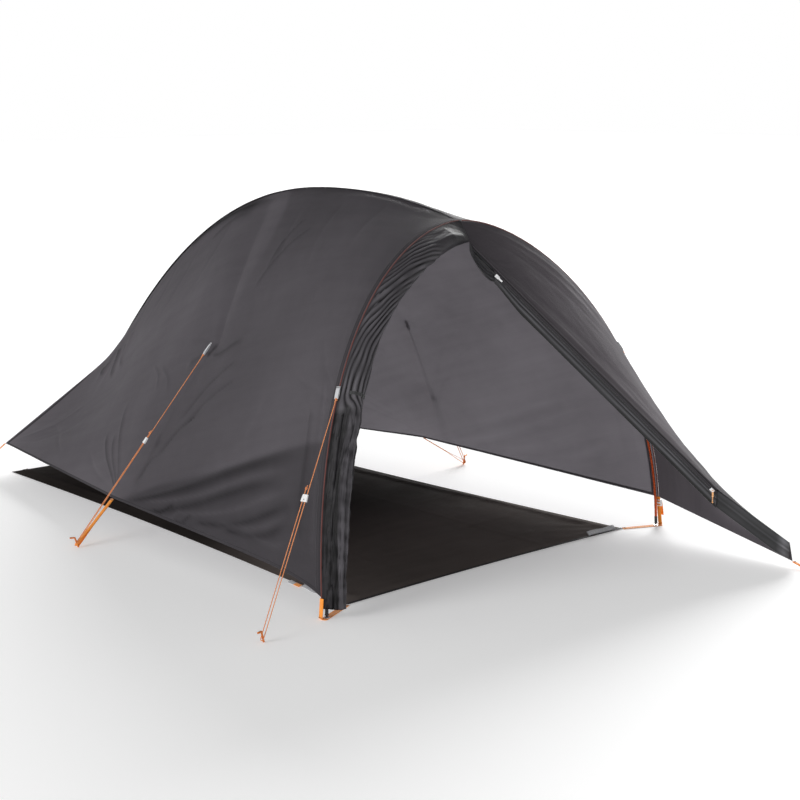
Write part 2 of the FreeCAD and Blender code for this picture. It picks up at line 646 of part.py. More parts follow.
# Build and write ----------------------------------------------------------------------
def build():
    nodes = {"groundsheet": groundsheet()}
    for side, name in ((LEFT, "left"), (RIGHT, "right")):
        nodes["fly_side_%s_front" % name] = side_panel(side, 0.0, TAB_U, rows=12, crowd=1.35)
        nodes["fly_side_%s_rear" % name] = side_panel(side, TAB_U, 1.0)
        nodes["fly_foot_panel_%s" % name] = foot_panel(side)
        nodes["arch_piping_%s" % name] = piping(side)
        for edge, part in zip(leg_edges(side), ("top", "middle", "bottom")):
            nodes["front_pole_%s_%s" % (name, part)] = tube_along(edge, POLE_R, POLE_BORE)
        nodes["corner_strap_%s" % name] = corner_strap(side)
    nodes["corner_strap_rear"] = corner_strap(0)
    nodes["strap_adjuster_right"] = strap_adjuster(RIGHT)
    nodes["strap_adjuster_rear"] = strap_adjuster(0)
    for i, edge in enumerate(ridge_edges(), 1):
        nodes["ridge_pole_section_%d" % i] = tube_along(edge, POLE_R, POLE_BORE)
    nodes["ridge_pole_elbow_section"] = rod_along(elbow_path(), POLE_R, POLE_BORE)

    left, right, ridge = leg_edges(LEFT), leg_edges(RIGHT), ridge_edges()
    elbow = elbow_path()
    nodes["pole_hub"] = hub([left[0], right[0], ridge[0]])
    chains = [left, right, ridge + elbow[:1]]
    nodes["pole_ferrules"] = Part.makeCompound([ferrule(a, b) for chain in chains
                                                for a, b in zip(chain, chain[1:])])
    elastics = [tube_along(edge, ELASTIC_R) for edge in left + right + ridge]
    nodes["pole_shock_cords"] = Part.makeCompound(elastics + [rod_along(elbow, ELASTIC_R)])
    nodes["pole_tips"] = Part.makeCompound([pole_tip(side) for side in (LEFT, RIGHT, 0)])
    nodes["strap_grommets"] = Part.makeCompound([grommet(pole_foot(side)) for side in (LEFT, RIGHT, 0)])
    wraps = [wrap(edge, f) for edge in left + right for f in (0.5,)] + [wrap(edge, 0.5) for edge in ridge[1:]]
    nodes["pole_wraps"] = Part.makeCompound(wraps)

    nodes["vestibule_door_panel"] = pegged_door()
    nodes["storm_flap"] = storm_flap()
    nodes["zip_tape"] = zip_tape()
    nodes["zip_coil"] = zip_coil()
    nodes["zip_slider_upper"] = slider(SLIDER_TOP_S)
    nodes["zip_slider_lower"] = slider(SLIDER_LOW_S)
    nodes["zip_pull_upper"] = slider_pull(SLIDER_TOP_S, ZIP_DIR, 0)
    nodes["zip_pull_lower"] = slider_pull(SLIDER_LOW_S, UP * -1, 18)
    nodes["rolled_door"] = rolled_door()
    nodes["door_tie_band"] = tie_band()
    nodes["door_toggle"] = tie_toggle()

    loops = [guy_loop(*SPARE_LOOP)]
    for name, (anchor, ground, loop, lock) in GUYS.items():
        nodes["guyline_%s" % name] = cord_tube(guy_route(anchor, ground, loop, lock))
        nodes["line_lock_%s" % name] = line_lock(anchor, ground, loop, lock)
        loops.append(guy_loop(anchor, ground, loop))
    nodes["guy_loops"] = Part.makeCompound(loops)

    tab, corner = V(TAB_X, TAB_Y, TAB_Z), V(CORNER_X, CORNER_Y, CORNER_Z)
    straps = [peg_strap(V(s * tab.x, tab.y, tab.z), mid_peg(s), 8, 12) for s in (LEFT, RIGHT)]
    rear_pegs = [V(s * REAR_PEG_X, REAR_PEG_Y, 0) for s in (LEFT, RIGHT)]
    straps += [peg_strap(V(s * corner.x, corner.y, corner.z), p, 8, 12)
               for s, p in zip((LEFT, RIGHT), rear_pegs)]
    straps.append(peg_strap(TOE, TOE_PEG, 6, 10))
    nodes["hem_peg_straps"] = Part.makeCompound(straps)
    pegs = [peg(FRONT_PEG, FRONT_PEG - GUYS["front_left"][0]), peg(TOE_PEG, TOE_PEG - TOE)]
    pegs += [peg(mid_peg(s), mid_peg(s) - mid_guy(s)) for s in (LEFT, RIGHT)]
    pegs += [peg(p, V(p.x, 400, 0)) for p in rear_pegs]
    nodes["pegs"] = Part.makeCompound(pegs)
    return nodes


os.makedirs("parts", exist_ok=True)
for node_name, node_shape in build().items():
    if not node_shape.isValid():
        print("NOT VALID", node_name)
    print("%-28s %8.1f cm3  %d solids" % (node_name, node_shape.Volume / 1000, len(node_shape.Solids)))
    node_shape.exportStep("parts/%s.step" % node_name)
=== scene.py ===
import math
import bpy
import numpy as np
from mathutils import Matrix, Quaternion, Vector, noise


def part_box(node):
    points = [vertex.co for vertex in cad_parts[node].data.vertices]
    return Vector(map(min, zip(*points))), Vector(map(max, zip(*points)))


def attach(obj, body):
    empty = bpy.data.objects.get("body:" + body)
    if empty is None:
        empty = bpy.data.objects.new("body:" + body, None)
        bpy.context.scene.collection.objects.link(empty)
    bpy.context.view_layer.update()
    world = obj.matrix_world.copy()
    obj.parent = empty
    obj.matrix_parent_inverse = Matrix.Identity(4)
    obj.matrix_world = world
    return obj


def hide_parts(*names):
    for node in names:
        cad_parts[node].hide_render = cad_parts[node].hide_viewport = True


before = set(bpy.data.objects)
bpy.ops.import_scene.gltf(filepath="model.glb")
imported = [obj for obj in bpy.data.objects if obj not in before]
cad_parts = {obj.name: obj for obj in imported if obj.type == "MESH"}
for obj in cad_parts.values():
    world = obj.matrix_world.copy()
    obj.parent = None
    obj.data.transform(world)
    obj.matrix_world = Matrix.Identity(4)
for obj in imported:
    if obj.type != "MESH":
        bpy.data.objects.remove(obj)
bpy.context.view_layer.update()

ROOT = "pitched_tent"


# ---------------------------------------------------------------- the tent's own geometry
# Metres. The front poles run from the feet to the hub, the ridge pole from the hub over the crest to
# the bend and down to the rear foot. HEM_Z is the hem's height at the front, left (-1) and right (1).
FOOT_HALF, FOOT_Y = 0.718, -1.100
HUB_Y, HUB_Z = -0.890, 1.036
CREST_Y, CREST_Z = -0.290, 1.112
BEND_Y, BEND_Z = 1.080, 0.412
REAR_FOOT_Y, REAR_LEAN = 1.190, 95.0 / 375.0
HEM_Z = {-1: 0.058, 1: 0.096}
HEM_SWOOP = 0.055
TAB = np.array([0.685, 0.027, 0.122])
CORNER = np.array([0.500, 1.100, 0.104])
TAB_U = 0.512
BOW_X, BOW_Z = 1.138, 0.896     # powers that give the front poles' bow its shape
HEM_TURN = {side: math.degrees(math.acos((z / HUB_Z) ** (1 / BOW_Z))) / 90 for side, z in HEM_Z.items()}
APEX = np.array([0.0, -0.930, 0.973])
KINK = np.array([0.497, -1.498, 0.234])
FLAP_END = np.array([0.643, -1.666, 0.072])
TOE = np.array([0.650, -1.674, 0.015])
ZIP_DIR = (KINK - APEX) / np.linalg.norm(KINK - APEX)
ZIP_LENGTH = float(np.linalg.norm(KINK - APEX))
FACE = np.array([ZIP_DIR[1], -ZIP_DIR[0], 0.0])
FACE /= np.linalg.norm(FACE)
UP = np.array([0.0, 0.0, 1.0])


def unit(a):
    a = np.asarray(a, float)
    return a / np.maximum(np.linalg.norm(a, axis=-1, keepdims=True), 1e-12)


def mix(a, b, t):
    return a + (b - a) * t


def smooth(x):
    x = np.clip(x, 0, 1)
    return x * x * (3 - 2 * x)


def hump(x, width):
    """A bell-shaped bump: 1 at x = 0 and nearly gone two widths away."""
    return np.exp(-(x / width) ** 2)


def xyz(x, y, z):
    return np.stack([x, y, z], -1)


def arch(side, turn):
    """The front pole's bow: turn is 0 at the hub and 1 at the ground."""
    a = np.radians(90 * np.asarray(turn, float))
    x = FOOT_HALF * np.maximum(np.sin(a), 0) ** BOW_X
    z = HUB_Z * np.maximum(np.cos(a), 0) ** BOW_Z
    rise = z / HUB_Z
    y = FOOT_Y + (HUB_Y - FOOT_Y) * (rise - 0.833 * rise * (1 - rise))
    return xyz(side * x, y, z)


def ridge(u):
    """The ridge pole: u is 0 at the hub and 1 at the bend."""
    y = HUB_Y + (BEND_Y - HUB_Y) * u
    front = np.maximum(CREST_Y - y, 0) / (CREST_Y - HUB_Y)
    rear = np.maximum(y - CREST_Y, 0) / (BEND_Y - CREST_Y)
    z = CREST_Z - (CREST_Z - HUB_Z) * front ** 2.3 - (CREST_Z - BEND_Z) * rear ** 2.12
    return xyz(0 * y, y, z)


def hem(side, u):
    """The lower edge, pulled down to the peg tab at TAB_U."""
    u = np.asarray(u, float)[..., None]
    flip = np.array([side, 1.0, 1.0])
    start = arch(side, HEM_TURN[side])
    lift = (HEM_Z[1] - HEM_Z[side]) * (1 - u / TAB_U) * (1 - np.exp(-u / HEM_SWOOP))
    fore = start + (TAB * flip - start) * u / TAB_U + UP * lift
    aft = TAB * flip + (CORNER - TAB) * flip * (u - TAB_U) / (1 - TAB_U)
    return np.where(u < TAB_U, fore, aft)


def fly(side, u, v):
    """One side of the fly: u from front to rear, v from ridge to hem."""
    top, bottom = arch(side, 0.0), arch(side, HEM_TURN[side])
    w = v[..., None]
    bulge = arch(side, HEM_TURN[side] * v) - (top + (bottom - top) * w)
    hollow = 0.060 * u ** 6 * (1 - u) / (6.0 ** 6 / 7.0 ** 7) * np.sin(np.pi * v)
    base = ridge(u) * (1 - w) + hem(side, u) * w
    dip = xyz(-side * 1.3 * np.sqrt(v) * hollow, 0 * hollow, -0.6 * hollow)
    return base + bulge * ((1 - u) ** 2.2)[..., None] + dip


def free_edge(t):
    """The door's free edge: along the zip to the kink, then down to the toe."""
    t = np.asarray(t, float)[..., None]
    upper = APEX + (KINK - APEX) * t / 0.74
    lower = KINK + (FLAP_END - KINK) * (t - 0.74) / 0.22
    last = FLAP_END + (TOE - FLAP_END) * (t - 0.96) / 0.04
    return np.where(t < 0.74, upper, np.where(t < 0.96, lower, last))


def door(t, w):
    """The pegged-out door: t from the hub down, w from the arch to the free edge."""
    start = arch(1, HEM_TURN[1] * t) + np.array([0, -0.005, 0])
    return mix(start, free_edge(t), w[..., None])


def foot_panel(side, across, down):
    z = mix(BEND_Z - 0.002, 0.095, down)
    y = REAR_FOOT_Y - REAR_LEAN * z + 0.012 - 0.016 * (1 - down) ** 6
    centre = xyz(0 * z, y, z)
    edge = fly(side, np.ones_like(down), down)
    return mix(centre, edge, across[..., None])


# ---------------------------------------------------------------- mesh helpers
def add_object(name, data):
    made = bpy.data.objects.new(name, data)
    bpy.context.scene.collection.objects.link(made)
    return made


def mesh_piece(name, verts, faces, material, uv=None):
    mesh = bpy.data.meshes.new(name)
    mesh.from_pydata([tuple(map(float, p)) for p in verts], [], faces)
    mesh.update()
    if uv is not None:
        layer = mesh.uv_layers.new(name="cloth")
        index = np.zeros(len(mesh.loops), int)
        mesh.loops.foreach_get("vertex_index", index)
        layer.data.foreach_set("uv", np.asarray(uv, float)[index].ravel())
    mesh.polygons.foreach_set("use_smooth", [True] * len(mesh.polygons))
    piece = add_object(name, mesh)
    mesh.materials.append(material)
    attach(piece, ROOT)
    return piece


def grid_faces(n, m, wrap=False, base=0, flip=False):
    faces = []
    for i in range(n - 1):
        for j in range(m if wrap else m - 1):
            k = (j + 1) % m
            quad = (base + i * m + j, base + (i + 1) * m + j, base + (i + 1) * m + k, base + i * m + k)
            faces.append(quad[::-1] if flip else quad)
    return faces


def grid_piece(name, points, material, uv=None, closed=False):
    """A mesh over rows of points; a closed one wraps round and has a cap at each end."""
    n, m = points.shape[:2]
    faces = grid_faces(n, m, closed)
    if closed:
        faces += [tuple(range(m)), tuple(range(n * m - 1, (n - 1) * m - 1, -1))]
    flat_uv = None if uv is None else uv.reshape(-1, 2)
    return mesh_piece(name, points.reshape(-1, 3), faces, material, flat_uv)


def sheet_normals(points):
    du = np.gradient(points, axis=0)
    dv = np.gradient(points, axis=1)
    return unit(np.cross(du, dv))


def facing_normals(points, axis):
    """Normals of a sheet, turned so that the middle one points to the positive side of the axis."""
    normals = sheet_normals(points)
    n, m = normals.shape[:2]
    return normals * np.sign(normals[n // 2, m // 2, axis])


def mesh_grid(first, second):
    return np.meshgrid(first, second, indexing="ij")


def woven_uv(along, across):
    """Cloth coordinates from the distances along and across a strip."""
    return np.stack(np.broadcast_arrays(along[:, None], across[None, :]), -1)


def lengths(points):
    """The distance of each point from the first, along the run."""
    step = np.linalg.norm(np.diff(points, axis=0), axis=1)
    return np.concatenate([[0], np.cumsum(step)])


def ribbon(name, centres, wides, width, thick, material):
    """A woven strap: rounded edges, following centres, with its width along wides."""
    centres = np.asarray(centres, float)
    wides = np.broadcast_to(np.asarray(wides, float), centres.shape)
    tangents = unit(np.gradient(centres, axis=0))
    wides = unit(wides - tangents * np.sum(wides * tangents, -1, keepdims=True))
    ups = np.cross(tangents, wides)
    h, t = width / 2, thick / 2
    e = t * 0.7
    ring = [(-h, 0), (-h + e, t), (-h / 3, t), (h / 3, t), (h - e, t), (h, 0),
            (h - e, -t), (h / 3, -t), (-h / 3, -t), (-h + e, -t)]
    across = [0, e, h * 2 / 3, h * 4 / 3, 2 * h, 2 * h, 2 * h, h * 4 / 3, h * 2 / 3, 0]
    points = np.stack([centres + wides * a + ups * b for a, b in ring], 1)
    uv = woven_uv(lengths(centres), np.array(across))
    return grid_piece(name, points, material, uv, closed=True)


def straight(a, b, count):
    return mix(a, b, np.linspace(0, 1, count)[:, None])


def curve_points(points, count):
    """A smooth run of points through the given ones."""
    points = np.asarray(points, float)
    n = len(points)
    if n == 2:
        return straight(points[0], points[1], count)
    ext = np.vstack([2 * points[0] - points[1], points, 2 * points[-1] - points[-2]])
    out = []
    for s in np.linspace(0, n - 1 - 1e-9, count):
        i = int(s)
        t = s - i
        p0, p1, p2, p3 = ext[i:i + 4]
        out.append(0.5 * (2 * p1 + (p2 - p0) * t + (2 * p0 - 5 * p1 + 4 * p2 - p3) * t * t
                          + (3 * p1 - p0 - 3 * p2 + p3) * t ** 3))
    return np.array(out)


def tube(name, centres, radius, material, sides, wave=None):
    """A round cord along centres; wave(along, angle) makes its surface uneven."""
    tangents = unit(np.gradient(centres, axis=0))
    side = unit(np.cross(tangents, UP + np.array([0.013, 0.02, 0])))
    ups = np.cross(side, tangents)
    along = lengths(centres)
    angle = np.linspace(0, 2 * np.pi, sides, endpoint=False)
    radii = np.full((len(centres), sides), radius)
    if wave:
        radii = radii + wave(along[:, None], angle[None, :])
    ring = np.cos(angle)[None, :, None] * side[:, None] + np.sin(angle)[None, :, None] * ups[:, None]
    points = centres[:, None] + ring * radii[..., None]
    uv = woven_uv(along, angle * float(np.mean(radii)))
    return grid_piece(name, points, material, uv, closed=True)


def curve_piece(name, points, radius, roundness, material, smooth=False):
    """A cord or a wire as a curve object. All is set before it joins the scene, so that its box is true."""
    data = bpy.data.curves.new(name, "CURVE")
    data.dimensions = "3D"
    spline = data.splines.new("NURBS" if smooth else "POLY")
    spline.points.add(len(points) - 1)
    spline.points.foreach_set("co", np.hstack([points, np.ones((len(points), 1))]).ravel())
    if smooth:
        spline.order_u = 3
        spline.use_endpoint_u = True
        data.resolution_u = 24
        data.use_fill_caps = True
    data.bevel_depth = radius
    data.bevel_resolution = roundness
    data.materials.append(material)
    piece = add_object(name, data)
    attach(piece, ROOT)
    return piece


def set_painted_shade(piece, values):
    """Painted light and shade at each vertex, in the shade attribute that scales the cloth's colour: below 1
    painted shade (deep folds, near the ground), above 1 painted highlight.
    """
    layer = piece.data.attributes.new("shade", "FLOAT", "POINT")
    layer.data.foreach_set("value", np.ascontiguousarray(values, dtype=float).ravel())


def value_noise(points, scale, seed, octaves):
    """Fractal noise at each point, about -1 to 1."""
    flat = np.asarray(points, float).reshape(-1, 3) * scale + seed
    out = np.zeros(len(flat))
    for octave in range(octaves):
        k = 2.0 ** octave
        out += np.array([noise.noise(Vector(p)) for p in flat * k]) / k
    return out.reshape(np.asarray(points).shape[:-1])


# ---------------------------------------------------------------- materials
class Nodes:
    """A new material with its node tree, and short ways to add and join nodes."""

    def __init__(self, name):
        self.material = bpy.data.materials.new(name)
        self.material.use_nodes = True
        self.tree = self.material.node_tree
        self.tree.nodes.clear()
        self.out = self.add("OutputMaterial")
        self.shader = self.add("BsdfPrincipled")
        self.put(self.out.inputs[0], self.shader.outputs[0])
        coords = self.add("TexCoord")
        self.position, self.uv = coords.outputs["Object"], coords.outputs["UV"]

    def put(self, socket, value):
        """Joins an output to the socket, or sets the socket's own value."""
        if isinstance(value, bpy.types.NodeSocket):
            self.tree.links.new(value, socket)
        else:
            socket.default_value = value

    def add(self, kind, inputs=None, **settings):
        made = self.tree.nodes.new("ShaderNode" + kind)
        for key, value in settings.items():
            setattr(made, key, value)
        for socket, value in (inputs or {}).items():
            self.put(made.inputs[socket], value)
        return made

    def math(self, operation, a, b):
        return self.add("Math", {0: a, 1: b}, operation=operation).outputs[0]

    def blend(self, a, share_a, b, share_b):
        """A weighted sum of two values."""
        return self.math("ADD", self.math("MULTIPLY", a, share_a), self.math("MULTIPLY", b, share_b))

    def noise(self, coords, scale, detail=3.0, rough=0.55, distortion=0.0):
        inputs = {"Vector": coords, "Scale": scale, "Detail": detail, "Roughness": rough,
                  "Distortion": distortion}
        return self.add("TexNoise", inputs).outputs["Fac"]

    def wave(self, coords, scale, direction, inputs=None):
        inputs = {"Vector": coords, "Scale": scale, **(inputs or {})}
        return self.add("TexWave", inputs, wave_type="BANDS", bands_direction=direction).outputs["Fac"]

    def scaled(self, coords, scale):
        return self.add("Mapping", {"Vector": coords, "Scale": scale}).outputs[0]

    def ramp(self, value, *stops):
        made = self.add("ValToRGB", {0: value})
        elements = made.color_ramp.elements
        while len(elements) < len(stops):
            elements.new(0.5)
        for element, (place, colour) in zip(elements, stops):
            element.position = place
            element.color = (*colour, 1)
        return made.outputs[0]

    def remap(self, value, low, high):
        """The middle of a noise's range, stretched from low to high."""
        return self.add("MapRange", dict(enumerate((value, 0.3, 0.7, low, high)))).outputs[0]

    def bump(self, height, distance, strength, inputs=None):
        inputs = {"Height": height, "Distance": distance, "Strength": strength, **(inputs or {})}
        return self.add("Bump", inputs).outputs[0]

    def finish(self, colour, rough, normal=None, **values):
        """Sets the shader's sockets, each named with _ for a space, and gives the material."""
        values.update(Base_Color=colour, Roughness=rough)
        if normal:
            values["Normal"] = normal
        for key, value in values.items():
            self.put(self.shader.inputs[key.replace("_", " ")], value)
        return self.material


def lattice(nodes, pitch, width):
    """1 on the threads of a square grid, 0 between."""
    split = nodes.add("SeparateXYZ", {0: nodes.uv})
    lines = []
    for axis in split.outputs[:2]:
        cell = nodes.add("Math", {0: nodes.math("MULTIPLY", axis, 1 / pitch)}, operation="FRACT")
        lines.append(nodes.math("LESS_THAN", cell.outputs[0], width))
    return nodes.math("MAXIMUM", lines[0], lines[1])


def cloth_material(name, light, dark, rough=(0.38, 0.55), glow=0.0, grid=0.0055, crumple=0.0006,
                   sheen=0.15, specular=0.45, ior=1.5, shaded=False):
    """Coated ripstop: reinforcement grid, fine weave, crumple and a soft glow of light from behind."""
    nodes = Nodes(name)
    cloud = nodes.noise(nodes.position, 2.2, 4.0, 0.6)
    streak = nodes.noise(nodes.scaled(nodes.uv, (3.0, 26.0, 1.0)), 1.0)
    threads = lattice(nodes, grid, 0.1)
    tone = nodes.math("ADD", nodes.blend(cloud, 0.72, streak, 0.28), nodes.math("MULTIPLY", threads, 0.05))
    colours = [nodes.ramp(tone, (0.32, dark), (0.68, light)),
               nodes.ramp(tone, (0.3, light), (0.7, tuple(min(1, c * 1.5) for c in light)))]
    if shaded:
        # the shade attribute holds painted light and shade, which scales both colours
        painted_shading = nodes.add("Attribute", attribute_name="shade").outputs["Fac"]
        painted_colours = [nodes.add("VectorMath", {0: c, "Scale": painted_shading}, operation="SCALE") for c in colours]
        colours = [made.outputs[0] for made in painted_colours]
    folds = nodes.noise(nodes.position, 26.0, 5.0, 0.62, 0.5)
    first = nodes.bump(folds, crumple, 0.8)
    second = nodes.bump(threads, 0.00012, 0.6, {"Normal": first})
    weave = nodes.wave(nodes.uv, 260.0, "DIAGONAL")
    third = nodes.bump(weave, 0.00004, 0.4, {"Normal": second})
    roughness = nodes.remap(nodes.noise(nodes.position, 9.0), *rough)
    if glow:
        through = nodes.add("BsdfTranslucent", {0: colours[1], "Normal": third})
        mixed = nodes.add("MixShader", {0: glow, 1: nodes.shader.outputs[0], 2: through.outputs[0]})
        nodes.put(nodes.out.inputs[0], mixed.outputs[0])
    return nodes.finish(colours[0], roughness, third, Sheen_Weight=sheen, Sheen_Roughness=0.4,
                        Specular_IOR_Level=specular, IOR=ior)


def webbing_material(name, light, dark, pitch=0.0016, rough=0.75):
    """Woven strap: ribs along and across, with slightly fuzzy edges."""
    nodes = Nodes(name)
    rib = nodes.wave(nodes.uv, 0.314 / pitch, "X", {"Distortion": 1.2, "Detail": 1.0})
    cross = nodes.wave(nodes.uv, 0.314 / pitch * 0.8, "Y")
    weave = nodes.math("MULTIPLY", rib, cross)
    cloud = nodes.noise(nodes.position, 55.0)
    colour = nodes.ramp(nodes.blend(weave, 0.6, cloud, 0.5), (0.15, dark), (0.75, light))
    return nodes.finish(colour, nodes.remap(cloud, rough - 0.08, rough + 0.1),
                        nodes.bump(weave, 0.0003, 0.8), Sheen_Weight=0.3)


def cord_material(name, light, dark, tracer):
    """Round braided cord with a reflective tracer thread."""
    nodes = Nodes(name)
    braid = nodes.wave(nodes.position, 190.0, "DIAGONAL", {"Distortion": 3.0})
    other = nodes.noise(nodes.position, 420.0, 1.0)
    tone = nodes.blend(braid, 0.5, other, 0.5)
    colour = nodes.ramp(tone, (0.25, dark), (0.6, light), (0.82, tracer))
    return nodes.finish(colour, nodes.remap(other, 0.6, 0.8), nodes.bump(tone, 0.0004, 0.8), Sheen_Weight=0.3)


def hard_material(name, colour, rough=(0.35, 0.5), metallic=0.0, grain=90.0, depth=0.00005, spread=0.12,
                  brushed=None):
    """Moulded plastic or metal with handling marks and an uneven finish."""
    nodes = Nodes(name)
    position = nodes.scaled(nodes.position, brushed) if brushed else nodes.position
    fine = nodes.noise(position, grain, 4.0, 0.6)
    tone = nodes.blend(fine, 0.5, nodes.noise(nodes.position, 14.0), 0.5)
    low = tuple(c * (1 - spread) for c in colour)
    high = tuple(min(1, c * (1 + spread)) for c in colour)
    return nodes.finish(nodes.ramp(tone, (0.3, low), (0.7, high)), nodes.remap(tone, *rough),
                        nodes.bump(fine, depth, 0.7), Metallic=metallic)


FLY = cloth_material("fly_ripstop", (0.113, 0.105, 0.116), (0.090, 0.083, 0.092), rough=(0.50, 0.64),
                     glow=0.42, sheen=0.02, specular=0.12, ior=1.25, shaded=True)
# the door's cloth is a darker copy of the fly's cloth: the difference is painted shade
DOOR = cloth_material("door_ripstop", (0.078, 0.070, 0.078), (0.056, 0.050, 0.056), rough=(0.50, 0.64),
                      glow=0.20, crumple=0.0009, sheen=0.02, specular=0.25, ior=1.25, shaded=True)
ROLL = cloth_material("rolled_ripstop", (0.070, 0.066, 0.073), (0.050, 0.047, 0.052), rough=(0.36, 0.52),
                      crumple=0.0007, sheen=0.0, specular=0.30, ior=1.30, shaded=True)
GATHER = cloth_material("gathered_ripstop", (0.046, 0.045, 0.049), (0.032, 0.031, 0.034), rough=(0.36, 0.50),
                        crumple=0.0007, specular=0.35)
FLAP = cloth_material("flap_cloth", (0.038, 0.037, 0.041), (0.024, 0.024, 0.026), crumple=0.0007,
                      grid=0.004, shaded=True)
TRIM = cloth_material("trim_tape", (0.056, 0.052, 0.057), (0.038, 0.035, 0.039), rough=(0.6, 0.75),
                      grid=0.0016, crumple=0.0003, sheen=0.0, specular=0.15, ior=1.25)
MAT = cloth_material("groundsheet_cloth", (0.050, 0.043, 0.040), (0.036, 0.031, 0.0285), rough=(0.70, 0.85),
                     crumple=0.0012, grid=0.007, sheen=0.0, specular=0.05, ior=1.12, shaded=True)
PIPING = webbing_material("piping_cloth", (0.22, 0.050, 0.036), (0.11, 0.024, 0.019), 0.0012)
ORANGE = webbing_material("orange_webbing", (1.0, 0.40, 0.030), (0.85, 0.23, 0.008), 0.0018)
SILVER = webbing_material("reflective_webbing", (0.75, 0.76, 0.78), (0.36, 0.36, 0.38), 0.0014, rough=0.45)
BLACK_WEB = webbing_material("black_webbing", (0.035, 0.035, 0.037), (0.012, 0.012, 0.013), 0.0014)
GUY = cord_material("guyline_braid", (0.86, 0.25, 0.045), (0.46, 0.10, 0.012), (0.95, 0.60, 0.35))
ELASTIC = cord_material("shock_cord_braid", (0.05, 0.05, 0.055), (0.02, 0.02, 0.02), (0.5, 0.5, 0.5))
PULL_CORD = cord_material("pull_cord_braid", (0.95, 0.45, 0.12), (0.6, 0.2, 0.04), (1.0, 0.8, 0.6))
STITCH = webbing_material("stitching_thread", (0.10, 0.10, 0.105), (0.04, 0.04, 0.042), 0.0008)
ALLOY_RED = hard_material("anodised_red", (0.52, 0.085, 0.025), (0.22, 0.36), 0.85, 160.0, 0.00003,
                          brushed=(6, 6, 0.6))
ALLOY = hard_material("bare_alloy", (0.75, 0.75, 0.77), (0.25, 0.42), 1.0, 220.0, 0.00003)
PEG = hard_material("anodised_peg", (0.72, 0.22, 0.05), (0.25, 0.42), 0.8, 180.0, 0.00004)
ZINC = hard_material("white_slider", (0.82, 0.82, 0.83), (0.28, 0.42), 0.25, 140.0, 0.00004)
BLACK = hard_material("black_plastic", (0.030, 0.030, 0.032), (0.35, 0.52), 0.0, 240.0, 0.00006)
WHITE = hard_material("pale_plastic", (0.80, 0.80, 0.80), (0.32, 0.5), 0.0, 240.0, 0.00006, spread=0.06)
COIL = hard_material("zip_coil_plastic", (0.09, 0.088, 0.09), (0.3, 0.45), 0.0, 300.0, 0.00003)

CARRIED = {     # nodes that keep their CAD mesh, and what each is made of
    "pole_hub": BLACK, "pole_ferrules": ALLOY, "pole_shock_cords": ELASTIC, "pole_tips": BLACK,
    "strap_grommets": ALLOY, "pole_wraps": BLACK_WEB, "zip_slider_upper": ZINC, "zip_slider_lower": ZINC,
    "zip_pull_upper": ZINC, "zip_pull_lower": PULL_CORD, "door_toggle": BLACK, "pegs": PEG,
    "arch_piping_left": PIPING, "arch_piping_right": PIPING,
}
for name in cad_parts:
    if name.startswith(("front_pole", "ridge_pole")):
        CARRIED[name] = ALLOY_RED
    if name.startswith(("line_lock", "strap_adjuster")):
        CARRIED[name] = WHITE
for name, material in CARRIED.items():
    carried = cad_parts[name]
    if not carried.material_slots:
        carried.data.materials.append(material)
    for place in carried.material_slots:
        place.material = material


# ---------------------------------------------------------------- fly: one continuous sheet
FLY_LENGTH, FLY_GIRTH = 2.02, 1.28


def crease(x, y, start, end, width, height, taper=(0.15, 0.85), sharp=1.0):
    """A raised fold between two places given as (along, down) in the cloth."""
    a = np.array([start[0] * FLY_LENGTH, start[1] * FLY_GIRTH])
    b = np.array([end[0] * FLY_LENGTH, end[1] * FLY_GIRTH])
    d = b - a
    length = np.hypot(*d)
    px, py = x - a[0], y - a[1]
    t = (px * d[0] + py * d[1]) / length ** 2
    off = (px * d[1] - py * d[0]) / length
    bend = off + 0.012 * np.sin(t * 5 + start[0] * 9)
    fade = smooth(t / taper[0] + 0.35) * smooth((1 - t) / (1 - taper[1])) * (t > -0.2)
    spread = width * (0.45 + 0.9 * np.clip(t, 0, 1))
    return height * fade * np.exp(-(np.abs(bend) / spread) ** (1.1 * sharp + 0.2))
